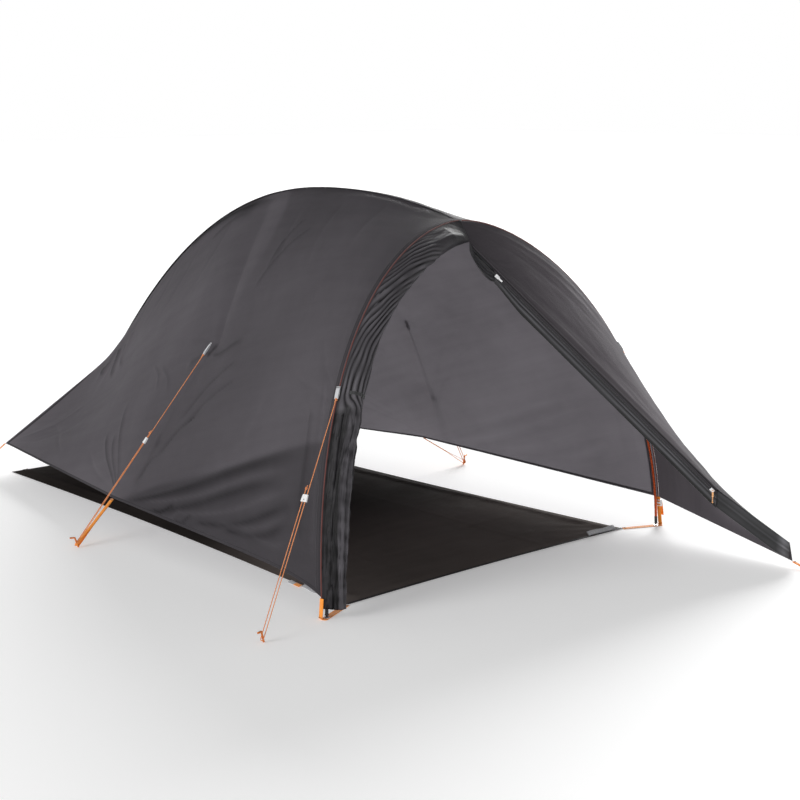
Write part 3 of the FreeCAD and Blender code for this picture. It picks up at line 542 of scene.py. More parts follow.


# the last column is each fold's painted brightness: painted highlight above 0, painted shade below
FOLDS = [      # (start along, down, end along, down, half width, height, brightness)
    (0.505, 0.995, 0.055, 0.757, 0.013, 0.0080, 0.10), (0.480, 0.985, 0.045, 0.785, 0.016, -0.0065, -0.24),
    (0.430, 0.972, 0.075, 0.823, 0.010, 0.0060, 0.20), (0.435, 0.998, 0.075, 0.846, 0.012, -0.0050, -0.22),
    (0.340, 0.975, 0.060, 0.862, 0.010, 0.0055, 0.18), (0.290, 0.986, 0.055, 0.886, 0.010, -0.0045, -0.22),
    (0.240, 0.974, 0.070, 0.905, 0.009, 0.0040, 0.14), (0.220, 0.984, 0.070, 0.922, 0.009, -0.0040, -0.20),
    (0.180, 0.975, 0.060, 0.945, 0.007, 0.0030, 0.10), (0.400, 0.985, 0.345, 0.972, 0.005, 0.0030, -0.22),
    (0.375, 0.992, 0.325, 0.975, 0.005, 0.0030, 0.16), (0.345, 0.990, 0.300, 0.978, 0.005, -0.0030, -0.20),
    (0.300, 0.600, 0.415, 0.768, 0.006, 0.0038, -0.16), (0.285, 0.650, 0.400, 0.790, 0.006, 0.0034, -0.14),
    (0.360, 0.750, 0.445, 0.865, 0.006, 0.0040, -0.20), (0.430, 0.870, 0.478, 0.935, 0.006, 0.0030, -0.16),
    (0.520, 0.985, 0.650, 0.815, 0.006, -0.0050, -0.34), (0.515, 0.980, 0.610, 0.815, 0.005, -0.0040, -0.26),
    (0.512, 0.975, 0.625, 0.708, 0.006, -0.0040, -0.22), (0.530, 0.990, 0.680, 0.900, 0.008, 0.0040, 0.06),
    (0.900, 0.280, 0.835, 0.530, 0.009, -0.0060, -0.34), (0.922, 0.315, 0.915, 0.430, 0.008, -0.0050, -0.30),
    (0.880, 0.280, 0.800, 0.500, 0.008, -0.0040, -0.22), (0.575, 0.590, 0.508, 0.690, 0.006, -0.0030, -0.12),
    (0.530, 0.600, 0.473, 0.695, 0.006, -0.0030, -0.12), (0.315, 0.150, 0.343, 0.340, 0.006, -0.0034, -0.16),
    (0.283, 0.185, 0.350, 0.410, 0.006, -0.0034, -0.16), (0.705, 0.042, 0.455, 0.022, 0.026, -0.0070, -0.62),
    (0.620, 0.085, 0.500, 0.060, 0.014, -0.0040, -0.20), (0.385, 0.580, 0.300, 0.560, 0.012, -0.0040, -0.24),
    (0.392, 0.585, 0.450, 0.600, 0.012, -0.0040, -0.18), (0.040, 0.640, 0.012, 0.990, 0.010, 0.0050, 0.08),
    (0.062, 0.700, 0.040, 0.960, 0.012, -0.0040, -0.14), (0.240, 0.840, 0.180, 0.660, 0.020, 0.0030, 0.04),
    (0.780, 0.930, 0.930, 0.800, 0.012, 0.0040, 0.05), (0.985, 0.980, 0.800, 0.760, 0.014, 0.0040, 0.05),
    (0.985, 0.960, 0.860, 0.620, 0.014, -0.0040, -0.06),
]


def fly_painted_shade(side, u, v):
    """Painted shade below the main fold, towards the ridge in front and in folds; painted highlights on
    crests and at the rear.
    """
    x, y = u * FLY_LENGTH, v * FLY_GIRTH
    k = 1.0 if side < 0 else 0.15
    fold = np.interp(u, [0.0, 0.052, 0.258, 0.403, 0.503, 0.512], [0.735, 0.758, 0.850, 0.922, 0.993, 1.01])
    painted_shading = 1 - 0.34 * k * smooth((v - fold) / 0.016) * smooth((0.52 - u) / 0.03)
    spine = np.interp(v, [0.0, 0.05, 0.24, 0.545, 0.60], [0.43, 0.413, 0.383, 0.380, 0.38])
    painted_shading -= 0.26 * k * smooth((spine - u) / 0.020) * hump(v, 0.30) * (0.55 + 0.45 * smooth(u / 0.3))
    painted_shading += 0.06 * k * hump(u - spine - 0.02, 0.03) * smooth((0.56 - v) / 0.1)
    painted_shading -= 0.34 * np.exp(-(u / 0.10) ** 2 - (v / 0.22) ** 2)
    painted_shading += 0.22 * k * smooth((u - 0.42) / 0.14) * smooth((v - 0.16) / 0.28)
    for u0, v0, u1, v1, width, _, fold_painted_light in FOLDS:
        painted_shading += crease(x, y, (u0, v0), (u1, v1), width * 1.05, 1.3 * fold_painted_light * k, (0.12, 0.72), 1.2)
    return np.clip(painted_shading, 0.25, 1.3)


def fly_relief(side, u, v):
    """How far the cloth stands out from the smooth fly: folds, pulls at the corners, a slight crumple."""
    x, y = u * FLY_LENGTH, v * FLY_GIRTH
    k = 1.0 if side < 0 else 0.50
    s = 0.0 if side < 0 else 0.013
    h = np.zeros_like(u)

    def pull(start, end, width, height, taper, sharp=1.0):
        return crease(x, y, start, end, width, height * k, taper, sharp)

    guy = np.hypot(x - 0.39 * FLY_LENGTH, y - 0.557 * FLY_GIRTH)
    h += 0.017 * k * np.exp(-guy / 0.10)
    h += pull((0.39, 0.557), (0.462 + s, 0.0), 0.045, 0.010, (0.1, 0.97))
    h += pull((0.39, 0.557), (0.20, 0.50 + s), 0.020, 0.0030, (0.1, 0.5))
    h += pull((0.39, 0.557), (0.58 + s, 0.50), 0.020, 0.0030, (0.1, 0.5))
    h -= pull((0.40, 0.54), (0.53, 0.10), 0.040, 0.0015, (0.1, 0.7))
    for u0, v0, u1, v1, width, high, _ in FOLDS:
        h += crease(x, y, (u0, v0), (u1 + s * 0.5, v1), width, high * k * k, (0.12, 0.80), 0.9)
    corners = (
        ((0.0, 1.0), 0.014, (0.14, 0.80, 2.6), (0.24, 0.90 + s, 2.8), (0.06, 0.70, 2.4), (0.34, 0.96, 1.8)),
        ((0.0, 0.665), 0.013, (0.10, 0.52, 2.6), (0.17 + s, 0.62, 3.0), (0.14, 0.76, 2.4), (0.05, 0.40, 2.0)),
        ((1.0, 1.0), 0.014, (0.82, 0.70, 3.0), (0.86, 0.86 + s, 2.6), (0.90, 0.55, 2.6), (0.78, 0.92, 2.0)))
    for corner, width, *rays in corners:
        for across, down, size in rays:
            h += pull(corner, (across, down), width, 0.001 * size, (0.1, 0.4), 0.9)
    for u0, v0, u1, v1 in ((0.345, 0.10, 0.30, 0.40), (0.25, 0.08, 0.22, 0.36), (0.56, 0.06, 0.60, 0.38),
                           (0.66, 0.07, 0.70, 0.40), (0.75, 0.06, 0.78, 0.34), (0.15, 0.06, 0.13, 0.30),
                           (0.84, 0.05, 0.87, 0.30)):
        h += pull((u0, v0), (u1, v1), 0.016, 0.0022, (0.2, 0.5))
    for u0, v0, u1, v1 in ((0.905, 0.24, 0.86, 0.62), (0.93, 0.22, 0.91, 0.55), (0.87, 0.22, 0.80, 0.55)):
        h -= pull((u0, v0), (u1, v1), 0.018, 0.0045, (0.15, 0.5))
    h -= 0.006 * hump(y - 0.060, 0.030) * smooth(u / 0.15) * smooth((1 - u) / 0.2)
    for centre in (0.10, 0.31, 0.51, 0.70, 0.86):
        h += 0.0025 * np.exp(-((x - centre * FLY_LENGTH) / 0.05) ** 2 - (y / 0.07) ** 2)
    flow = xyz(x * 1.3 + y * 0.5, y * 0.6 - x * 0.3, 0 * x + side * 3.7)
    h += 0.0030 * value_noise(flow, 3.4, 5.1, 2)
    h += 0.0009 * value_noise(flow, 13.0, 9.7, 2)
    edge = smooth(u / 0.035) * smooth((1 - u) / 0.05) * smooth(v / 0.02)
    return h * (edge * (0.35 + 0.65 * smooth((1 - v) / 0.06)))


N_U, N_V = ((250, 180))
us = np.linspace(0, 1, N_U)
u, v = mesh_grid(us, np.linspace(0, 1, N_V))
halves, painted_shades = [], []
for side in (-1, 1):
    base = fly(side, u, v)
    outward = sheet_normals(base) * (1 if side > 0 else -1)
    outward[:, 0] = unit(outward[:, 0] * np.array([0, 1, 1]))
    halves.append(base + outward * fly_relief(side, u, v)[..., None])
    painted_shades.append(fly_painted_shade(side, u, v))
halves[0][:, 0, 0] = 0
halves[1][:, 0, 0] = 0
ridge_line = (halves[0][:, 0] + halves[1][:, 0]) / 2
fly_points = np.concatenate([halves[0][:, :0:-1], ridge_line[:, None], halves[1][:, 1:]], 1)
uu, ww = mesh_grid(us, np.linspace(-1, 1, 2 * N_V - 1))
fly_uv = np.stack([uu * FLY_LENGTH, ww * FLY_GIRTH * (1 - 0.45 * uu)], -1)
fly_normals = facing_normals(fly_points, 2)
fly_piece = grid_piece("fly_canopy", fly_points, FLY, fly_uv)
# painted light and shade of both halves of the fly
set_painted_shade(fly_piece, np.concatenate([painted_shades[0][:, :0:-1], painted_shades[1]], 1))
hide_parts("fly_side_left_front", "fly_side_left_rear", "fly_side_right_front",
            "fly_side_right_rear")


def on_fly(u, w):
    """Point and outward normal of the fly at u along and w across (-1 left hem, 0 ridge, 1 right hem)."""
    a = np.clip(np.asarray(u, float), 0, 1) * (N_U - 1)
    b = (np.clip(np.asarray(w, float), -1, 1) + 1) / 2 * (2 * N_V - 2)
    i = np.minimum(a.astype(int), N_U - 2)
    j = np.minimum(b.astype(int), 2 * N_V - 3)
    fa, fb = (a - i)[..., None], (b - j)[..., None]

    def pick(g):
        return ((g[i, j] * (1 - fa) + g[i + 1, j] * fa) * (1 - fb)
                + (g[i, j + 1] * (1 - fa) + g[i + 1, j + 1] * fa) * fb)
    return pick(fly_points), unit(pick(fly_normals))


def seam(name, u, w, width, lift):
    """A sewn tape that follows the fly."""
    p, n = on_fly(u, w)
    across = unit(np.cross(n, unit(np.gradient(p, axis=0))))
    profile = ((-0.5, 0.2), (-0.42, 1.0), (-0.3, 0.75), (0, 1.0), (0.3, 0.75), (0.42, 1.0), (0.5, 0.2))
    points = np.stack([p + across * width * f + n * lift * l for f, l in profile], 1)
    uv = woven_uv(lengths(p), np.linspace(0, width, len(profile)))
    return grid_piece(name, points, TRIM, uv)


def stitches(name, p, n, t, pitch=0.004):
    """Separate raised stitches along a line, joined in one mesh; n points out of the cloth, t along it."""
    along = lengths(p)
    verts, faces = [], []
    for k in range(int(along[-1] / pitch)):
        middle, out, ahead = (np.array([np.interp((k + 0.5) * pitch, along, column) for column in run.T])
                              for run in (p, n, t))
        b = np.cross(out, ahead)
        base = len(verts)
        for a, h in ((-0.36, -0.0001), (-0.2, 0.0005), (0.2, 0.0005), (0.36, -0.0001)):
            c = middle + ahead * pitch * a
            verts += [c + b * 0.00035 + out * h, c - b * 0.00035 + out * h]
        faces += [(base + i, base + i + 1, base + i + 3, base + i + 2) for i in (0, 2, 4)]
    return mesh_piece(name, verts, faces, STITCH)


# ---------------------------------------------------------------- foot panel and groundsheet
across, down = mesh_grid(np.linspace(0, 1, 48), np.linspace(0, 1, 60))
foot_sides = [foot_panel(side, across, down) for side in (-1, 1)]
foot_points = np.concatenate([foot_sides[0][::-1], foot_sides[1][1:]], 0)
aa, dd = mesh_grid(np.linspace(-1, 1, 95), np.linspace(0, 1, 60))
relief = 0.0030 * value_noise(xyz(aa * 0.6, dd * 0.3, 0 * aa), 7.0, 3.3, 3)
for place in (-0.9, -0.6, -0.35, 0.35, 0.62, 0.88):
    relief += 0.003 * hump(aa - place * dd, 0.035) * smooth(dd / 0.4)
relief += 0.006 * hump(aa, 0.05) * smooth((1 - dd) / 0.3)
relief *= smooth((1 - np.abs(aa)) / 0.12) * smooth(dd / 0.08)
foot_points = foot_points + facing_normals(foot_points, 1) * (relief + 0.001)[..., None]
foot_uv = np.stack([aa * 0.5, dd * 0.33], -1)
foot_piece = grid_piece("fly_foot_panel", foot_points, FLY, foot_uv)
# painted light and shade following the relief: lighter on raised folds, darker in hollows
set_painted_shade(foot_piece, 0.95 + 30 * relief)
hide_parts("fly_foot_panel_left", "fly_foot_panel_right")

low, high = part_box("groundsheet")
NX, NY = ((110, 190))
a, b = mesh_grid(np.linspace(-1, 1, NX), np.linspace(0, 1, NY))
front_half, rear_half = high[0], 0.508
half = mix(front_half, rear_half, b) - 0.022 * np.sin(np.pi * b)
gx = a * half
gy = mix(low[1], high[1], b) + 0.014 * np.sin(np.pi * (a + 1) / 2) * (1 - 2 * b)
gz = 0.0042 + 0.0035 * value_noise(xyz(gx, gy * 0.7, 0 * gx), 4.0, 2.0, 3)
for fold in (-0.55, 0.0, 0.5):
    gz += 0.0012 * hump(gx - fold * 0.5, 0.006)
for fold in (-0.7, -0.35, 0.0, 0.35, 0.7):
    gz += 0.0012 * hump(gy - fold, 0.006)
for sign in (-1, 1):
    inner = np.abs(gx - sign * (half - 0.048 + 0.006 * np.sin(b * 7)))
    gz += 0.0055 * np.exp(-(inner / 0.011) ** 1.4)
for cx in (-1, 1):
    for cy, corner_x, corner_y in ((0, cx * front_half, low[1]), (1, cx * rear_half, high[1])):
        near = np.hypot(gx - corner_x, gy - corner_y)
        angle = np.arctan2(gy - corner_y, (gx - corner_x) * -cx)
        gz += 0.004 * np.exp(-near / 0.22) * np.abs(np.sin(angle * 9 + cy)) ** 2
gz = np.maximum(gz, 0.0006)
border = np.minimum((1 - np.abs(a)) * half, np.minimum(b, 1 - b) * (high[1] - low[1]))
gz = mix(0.0010, gz, smooth(border / 0.03))
mat_uv = np.stack([gx, gy], -1)
mat_piece = grid_piece("groundsheet_cloth", xyz(gx, gy, gz), MAT, mat_uv)
# painted light: the groundsheet lighter towards the front, darker towards the rear
set_painted_shade(mat_piece, 0.65 + 1.95 * smooth((-0.15 - gy) / 0.55))
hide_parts("groundsheet")


# ---------------------------------------------------------------- guylines
def guyline(place, points):
    """A taut cord: down to the peg, round it and back up to a stopper knot above the line-lock."""
    name, node_name, lock = "guyline_" + place + "_cord", "guyline_" + place, "line_lock_" + place
    piece = curve_piece(name, points, 0.00125, 4, GUY, smooth=True)
    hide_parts(node_name)
    end, before = np.array(points[-1]), np.array(points[-2])
    along = unit(end - before)
    knot = knot_piece(name + "_stopper_knot", end + along * 0.002, along, 0.0029)


def knot_piece(name, centre, along, size):
    """An overhand knot: a trefoil of cord with its short tail."""
    side = unit(np.cross(along, UP + np.array([0.1, 0.03, 0])))
    other = np.cross(along, side)
    s = np.linspace(0, 2 * np.pi, 60)
    x = (np.sin(s) + 2 * np.sin(2 * s)) / 3
    y = (np.cos(s) - 2 * np.cos(2 * s)) / 3
    z = -np.sin(3 * s)
    path = centre + size * (x[:, None] * side + y[:, None] * other * 0.9 + z[:, None] * along * 0.8)
    tail = [path[-1] + along * 0.004 + side * 0.001, path[-1] + along * 0.009 + side * 0.003]
    path = np.vstack([path, *tail])
    return tube(name, path, 0.00125, GUY, 8)


FRONT_ROUTE = [(-0.6020, -1.0276, 0.5905), (-0.9456, -1.1434, 0.0276), (-0.9584, -1.1477, 0.0066),
               (-0.9613, -1.1390, 0.0066), (-0.9485, -1.1346, 0.0276), (-0.7426, -1.0653, 0.3649)]
LEFT_ROUTE = [(-0.4505, -0.1735, 0.5949), (-0.8478, -0.0317, 0.0270), (-0.8619, -0.0266, 0.0070),
              (-0.8588, -0.0180, 0.0070), (-0.8447, -0.0230, 0.0270), (-0.6194, -0.1034, 0.3490)]
RIGHT_ROUTE = [(0.4447, -0.1639, 0.5921), (0.8447, -0.0230, 0.0270), (0.8588, -0.0180, 0.0070),
               (0.8619, -0.0267, 0.0070), (0.8478, -0.0317, 0.0270), (0.6209, -0.1116, 0.3474)]
guyline("front_left", FRONT_ROUTE)
guyline("mid_left", LEFT_ROUTE)
guyline("mid_right", RIGHT_ROUTE)


def guy_loop(name, anchor, start, wide):
    """A folded loop of reflective webbing, out from the seam to the cord and back, with a bar tack."""
    anchor, start = np.array(anchor), np.array(start)
    along = unit(start - anchor)
    wide = unit(np.array(wide) - along * np.dot(wide, along))
    up = np.cross(wide, along)
    length = float(np.linalg.norm(start - anchor))
    s = np.linspace(0, np.pi * 2, 41)
    reach = length / 2 * (1 - np.cos(s)) + 0.0012
    lift = 0.0030 * np.sin(s) * (0.35 + 0.65 * (reach / length))
    path = anchor + along * reach[:, None] + up * lift[:, None]
    loop = ribbon(name, path, wide, 0.012, 0.0009, SILVER)
    tack_path = anchor + along * 0.006 + wide * np.linspace(-0.005, 0.005, 12)[:, None] + up * 0.0028
    tube(name + "_bar_tack", tack_path, 0.0008, STITCH, 6, lambda a, t: 0.0003 * np.sin(a * 5200))
    knot_piece(name + "_knot", start + along * 0.003, along, 0.0030)
    return loop


loops = [guy_loop("guy_loop_" + place, anchor, start, wide) for place, anchor, start, wide in (
    ("front_left", (-0.5845, -1.0170, 0.6215), FRONT_ROUTE[0], (-0.3193, 0.9477, 0)),
    ("mid_left", (-0.4233, -0.1785, 0.6309), LEFT_ROUTE[0], (0.3323, 0.9432, 0)),
    ("mid_right", (0.4205, -0.1775, 0.6280), RIGHT_ROUTE[0], (0.3323, -0.9432, 0)),
    ("front_right", (0.5845, -1.0170, 0.6215), (0.6035, -1.0230, 0.5905), (0.3193, 0.9477, 0)))]
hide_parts("guy_loops")


# ---------------------------------------------------------------- seams and hems of the fly
run = np.linspace(0.012, 0.988, 150)
seam("ridge_seam_tape", run, 0 * run, 0.016, 0.0012)
w_run = np.linspace(-0.995, 0.995, 220)
seam("arch_seam_tape", 0.0085 + 0 * w_run, w_run, 0.013, 0.0012)
for side, word in ((-1, "left"), (1, "right")):
    u_run = np.linspace(0.003, 0.997, 200)
    seam("fly_hem_" + word, u_run, side * 0.9965 + 0 * u_run, 0.008, 0.0011)
    v_run = np.linspace(0.02, 0.99, 110)
    seam("foot_seam_" + word, 0.9935 + 0 * v_run, side * v_run, 0.013, 0.0012)
    p, n = on_fly(0.0125 + 0 * v_run, side * v_run)
    stitches("arch_stitching_" + word, p + n * 0.0013, n, unit(np.gradient(p, axis=0)))


# ---------------------------------------------------------------- pegged-out door
def door_relief(t, w):
    flow = xyz(w * 0.7, t * 1.3, 0 * t)
    h = 0.0024 * value_noise(flow, 3.1, 8.0, 2) + 0.0007 * value_noise(flow, 12.0, 4.0, 2)
    for centre, wide, high in ((0.16, 0.035, 0.0010), (0.27, 0.03, -0.0008),
                               (0.86, 0.03, 0.0018), (0.72, 0.05, -0.0012)):
        bend = centre + 0.05 * np.sin(t * 3.0)
        h += high * hump(w - bend, wide) * smooth(t / 0.1) * smooth((0.85 - t) / 0.35)
    for k in range(7):
        off = (w - 1) + (t - 0.02) * (1.6 + 0.9 * k) * 0.55
        rise = (1 if k % 2 else -0.8) * (0.15 + 0.11 * k)
        h += 0.0032 * hump(off, 0.03) * hump(t - 0.03, 0.16) * rise
    for k in range(6):
        slope = -0.9 + 0.33 * k
        off = (w - 0.5) * 0.9 - slope * (1 - t)
        h += 0.0026 * hump(off, 0.035) * smooth((t - 0.55) / 0.3) * smooth((0.99 - t) / 0.1)
    h += 0.0015 * hump(w - 0.10, 0.03) * smooth(t / 0.1)
    return h * smooth(w / 0.04) * smooth((1 - w) / 0.05) * smooth(t / 0.03) * smooth((1 - t) / 0.04)


N_T, N_W = ((190, 80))
t_grid, w_grid = mesh_grid(np.linspace(0, 1, N_T), np.linspace(0, 1, N_W))
door_base = door(t_grid, w_grid)
door_points = door_base + facing_normals(door_base, 0) * door_relief(t_grid, w_grid)[..., None]
door_uv = np.stack([t_grid * 1.25, w_grid * 0.78 * t_grid], -1)
door_piece = grid_piece("vestibule_door", door_points, DOOR, door_uv)
# painted light and shade on the door: lighter through the middle of its fall, darker at top and foot, a
# painted light strip near the toe and painted shade along the free edge
door_painted_light = np.interp(t_grid, [0.0, 0.15, 0.45, 0.65, 0.85, 1.0], [0.85, 1.05, 1.85, 2.10, 0.80, 0.80])
door_painted_light *= 1 + 1.1 * hump(t_grid - 0.955, 0.022) * smooth((w_grid - 0.3) / 0.4)
set_painted_shade(door_piece, door_painted_light * (1 - 0.22 * hump(w_grid - 0.96, 0.03)))
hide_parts("vestibule_door_panel")


# ---------------------------------------------------------------- zip strip under the free edge
def strip_piece(name, s, profile, material, wave=0.0, seed=0.0, k=1.0):
    """A long fold of cloth in the vertical plane under the free edge; profile is (drop, forward)."""
    base = APEX + ZIP_DIR * s[:, None]
    k = k * np.ones_like(s)
    rows = []
    for d, f in profile:
        sway = wave * np.sin(s * 17 + seed + d * 60) + wave * 0.6 * np.sin(s * 41 + seed * 2 + d * 130)
        rows.append(base - UP * (d * k)[:, None] + FACE * (f + sway * min(1.0, d / 0.03))[:, None])
    points = np.stack(rows, 1)
    width = lengths(np.array([[d, f, 0] for d, f in profile]))
    return grid_piece(name, points, material, woven_uv(s, width), closed=True)


body_s = np.linspace(0.105, ZIP_LENGTH - 0.002, 190)
edge_s = np.linspace(0.012, ZIP_LENGTH, 200)
hem_piece = strip_piece("door_edge_hem", edge_s, [
    (0.0035, -0.0020), (-0.0012, -0.0022), (-0.0024, 0.0), (-0.0010, 0.0024),
    (0.0030, 0.0026), (0.0062, 0.0016), (0.0066, -0.0006)], DOOR)
# painted highlight and shade in bands across the hem's roll
set_painted_shade(hem_piece, np.tile([0.7, 1.5, 1.9, 1.2, 0.5, 0.25, 0.25], (len(edge_s), 1)))
strip_piece("zip_placket", body_s, [
    (0.0058, 0.0004), (0.0075, 0.0016), (0.0098, 0.0018), (0.0112, 0.0008),
    (0.0150, 0.0006), (0.0150, -0.0004), (0.0060, -0.0006)], TRIM)
flap_fall = 0.75 + 0.25 * smooth((body_s - 0.105) / 0.12)
flap_piece = strip_piece("storm_flap_cloth", body_s, [
    (0.0140, -0.0048), (0.0200, -0.0050), (0.0262, -0.0042), (0.0292, -0.0008), (0.0318, 0.0008),
    (0.0340, -0.0002), (0.0368, -0.0032), (0.0450, -0.0046), (0.0540, -0.0044), (0.0592, -0.0034),
    (0.0618, -0.0030), (0.0628, -0.0046), (0.0600, -0.0066), (0.0400, -0.0076), (0.0200, -0.0078)],
    FLAP, 0.0014, 1.0, flap_fall)
# painted highlight and shadow in bands across the storm flap's folds, wavering along it and fading in at its
# top
flap_painted_bands = np.array([0.4, 0.5, 1.8, 3.6, 0.8, 0.12, 0.9, 2.0, 0.10, 0.03, 0.03, 0.03, 0.1, 0.5, 0.5])
sweep = 1 + 0.25 * np.sin(body_s * 9.0) + 0.12 * np.sin(body_s * 31.0)
set_painted_shade(flap_piece, 1 + (flap_painted_bands - 1) * sweep[:, None] * smooth((body_s - 0.105) / 0.05)[:, None])
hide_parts("storm_flap")

low_u = np.linspace(0, 1, 60)
low_line = straight(KINK, FLAP_END, 60)
low_dir = unit(FLAP_END - KINK)
low_face = unit(np.array([low_dir[1], -low_dir[0], 0.0]))
shrink = 1 - 0.10 * smooth((low_u - 0.8) / 0.2)
tuck = 0.008 * smooth((0.55 - low_u) / 0.4)
rows = []
for d, f in ((0.0, 0.0022), (0.010, 0.0026), (0.022, 0.0010), (0.028, 0.0026), (0.034, 0.0008),
             (0.048, -0.0012), (0.057, -0.0006), (0.0595, -0.0018), (0.057, -0.0034), (0.030, -0.0036),
             (0.0, -0.0030)):
    sway = 0.0018 * np.sin(low_u * 11 + d * 90) * min(1, d / 0.02)
    rows.append(low_line - UP * (d * shrink)[:, None] + low_face * (f + sway - tuck)[:, None])
low_uv = woven_uv(low_u * 0.235, np.linspace(0, 0.12, 11))
tail_piece = grid_piece("storm_flap_tail", np.stack(rows, 1), FLAP, low_uv, closed=True)
# painted bands of highlight and shade across the flap's tail, and a painted light strip near its lower end
tail_painted_bands = np.array([1.0, 1.4, 0.6, 1.5, 0.5, 0.9, 0.6, 0.5, 0.6, 0.8, 0.9])
tail_painted_light = np.interp(low_u, [0, 0.3, 0.82, 0.92, 1], [0.6, 0.9, 0.8, 4.0, 1.6])
set_painted_shade(tail_piece, tail_painted_bands * tail_painted_light[:, None])

COIL_PITCH, COIL_STEPS = 0.0022, 8
coil_turns = int((ZIP_LENGTH - 0.032) / COIL_PITCH)
winding = np.arange(coil_turns * COIL_STEPS) * (2 * np.pi / COIL_STEPS)
coil_s = 0.026 + winding / (2 * np.pi) * COIL_PITCH
zip_up = np.cross(FACE, ZIP_DIR)
zip_up = zip_up * np.sign(zip_up[2])
coil_path = (APEX + ZIP_DIR * coil_s[:, None] - UP * 0.018 + FACE * (0.00085 * np.sin(winding))[:, None]
             + zip_up * (0.0017 * np.cos(winding))[:, None])
coil_piece = curve_piece("zip_coil_teeth", coil_path, 0.00042, 0, COIL)
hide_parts("zip_coil")
tape_piece = strip_piece("zip_tape_cloth", body_s, [
    (0.0142, -0.0004), (0.0200, -0.0005), (0.0200, 0.0003), (0.0142, 0.0004)], TRIM)
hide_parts("zip_tape")
for d, name in ((0.0020, "door_edge_stitching"), (0.0088, "placket_stitching")):
    line = APEX + ZIP_DIR * edge_s[:, None] - UP * d + FACE * (0.0026 if d < 0.005 else 0.0018)
    stitches(name, line, np.tile(FACE, (len(line), 1)), np.tile(ZIP_DIR, (len(line), 1)))

gs, gj = mesh_grid(np.linspace(0.0, 0.135, 60), np.linspace(0, 1, 40))
g = gs / 0.135
fall = 0.010 + 0.052 * np.sin(np.pi * np.clip(g * 0.86 + 0.05, 0, 1)) ** 0.8 * (1 - 0.45 * g ** 3)
fold = 0.0048 * np.sin(gj * 15.5 + g * 2.2 + 0.5 * np.sin(g * 6))
fold = fold * smooth(g / 0.25) * smooth((1.05 - g) / 0.3)
drop = gj * fall + 0.002 * np.sin(g * 9 + gj * 7) * gj
ahead = 0.004 * np.sin(np.pi * gj) * np.sin(np.pi * g) + fold * (0.3 + 0.7 * gj)
ahead = ahead - 0.004 * gj - 0.012 * smooth(g / 0.35)
gather = APEX + ZIP_DIR * gs[..., None] - UP * drop[..., None] + FACE * ahead[..., None]
grid_piece("door_gather", gather, GATHER, np.stack([gs, drop], -1))


# ---------------------------------------------------------------- rolled and tied door
def arch_frame(turn):
    p = arch(-1, turn)
    t = unit(arch(-1, turn + 0.01) - arch(-1, turn - 0.01))
    inward = unit(np.cross(t, np.array([0.0, 1.0, 0.0])))
    return p, t, inward


ROLL_TURNS = [0.0, 0.05, 0.10, 0.2, 0.3, 0.4, 0.5, 0.6, 0.7, 0.8, 0.9, 0.988]
ROLL_IN = [0.056, 0.047, 0.039, 0.038, 0.036, 0.033, 0.030, 0.033, 0.034, 0.035, 0.034, 0.031]
ROLL_AHEAD = [0.034, 0.035, 0.034, 0.034, 0.034, 0.032, 0.031, 0.034, 0.033, 0.034, 0.034, 0.031]
ROLL_RADIUS = [0.005, 0.016, 0.024, 0.028, 0.027, 0.0255, 0.023, 0.0245, 0.026, 0.0265, 0.023, 0.019]
ROLL_FULL, ROLL_END, TIE = 0.12, 0.988, 0.63     # turns where the roll is full, ends and is tied
N_S = 400
N_NECK, N_RING, N_BACK = ((36, 96, 8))
turn = np.concatenate([np.linspace(0.0, ROLL_FULL, N_S // 8, endpoint=False),
                       np.linspace(ROLL_FULL, ROLL_END, N_S - N_S // 8)])
root, tangent, inward = arch_frame(np.maximum(turn, 1e-4))
forward = np.cross(tangent, inward)
forward = forward * -np.sign(forward[:, 1:2])
c1, c2 = np.interp(turn, ROLL_TURNS, ROLL_IN), np.interp(turn, ROLL_TURNS, ROLL_AHEAD)
radius = np.interp(turn, ROLL_TURNS, ROLL_RADIUS) - 0.003 * hump(turn - TIE, 0.02)
along = lengths(root)
away = np.hypot(c1 + 0.0025, c2 - 0.0023)
facing = np.arctan2(0.0023 - c2, -0.0025 - c1)
touch = facing - np.arccos(np.clip(radius / away, -1, 1))
rings, normals, reach = [], [], []
for k in range(len(turn)):
    start, mid = np.array([-0.0025, 0.0023]), np.array([c1[k], c2[k]])
    tip = mid + radius[k] * np.array([np.cos(touch[k]), np.sin(touch[k])])
    out = unit(tip - mid)
    neck = mix(start, tip, np.linspace(0, 1, N_NECK, endpoint=False)[:, None])
    turns = touch[k] - np.linspace(0, 2 * np.pi - 0.45, N_RING)
    spin = np.stack([np.cos(turns), np.sin(turns)], -1)
    back = mix(tip, start, np.linspace(0.45, 0.985, N_BACK)[:, None]) - out * 0.0022
    ring = np.concatenate([neck, mid + spin * radius[k], back])
    rings.append(ring)
    normals.append(np.concatenate([np.tile(out, (N_NECK, 1)), spin, np.tile(-out, (N_BACK, 1))]))
    reach.append(lengths(np.hstack([ring, np.zeros((len(ring), 1))])))
rings, normals, reach = np.array(rings), np.array(normals), np.array(reach)
N_A = rings.shape[1]
s_grid = np.broadcast_to(along[:, None], reach.shape)
t_grid = np.broadcast_to(turn[:, None], reach.shape)
upper = smooth((0.56 - turn) / 0.20)
tied = smooth((0.66 - turn) / 0.03) * (1 - upper)
pace = 25.0 * upper + 6.0 * tied + 1.6 * (1 - upper - tied)
pleats = 64.0 * upper + 66.0 * tied + 40.0 * (1 - upper - tied)
course = np.concatenate([[0], np.cumsum(np.diff(along) * (pace[1:] + pace[:-1]) / 2)])
spot = xyz(s_grid * 5.0, reach * 16.0, 0 * reach)
drift = value_noise(spot, 1.0, 2.2, 2)
phase = np.pi * (course[:, None] + pleats[:, None] * reach + 0.95 * drift)
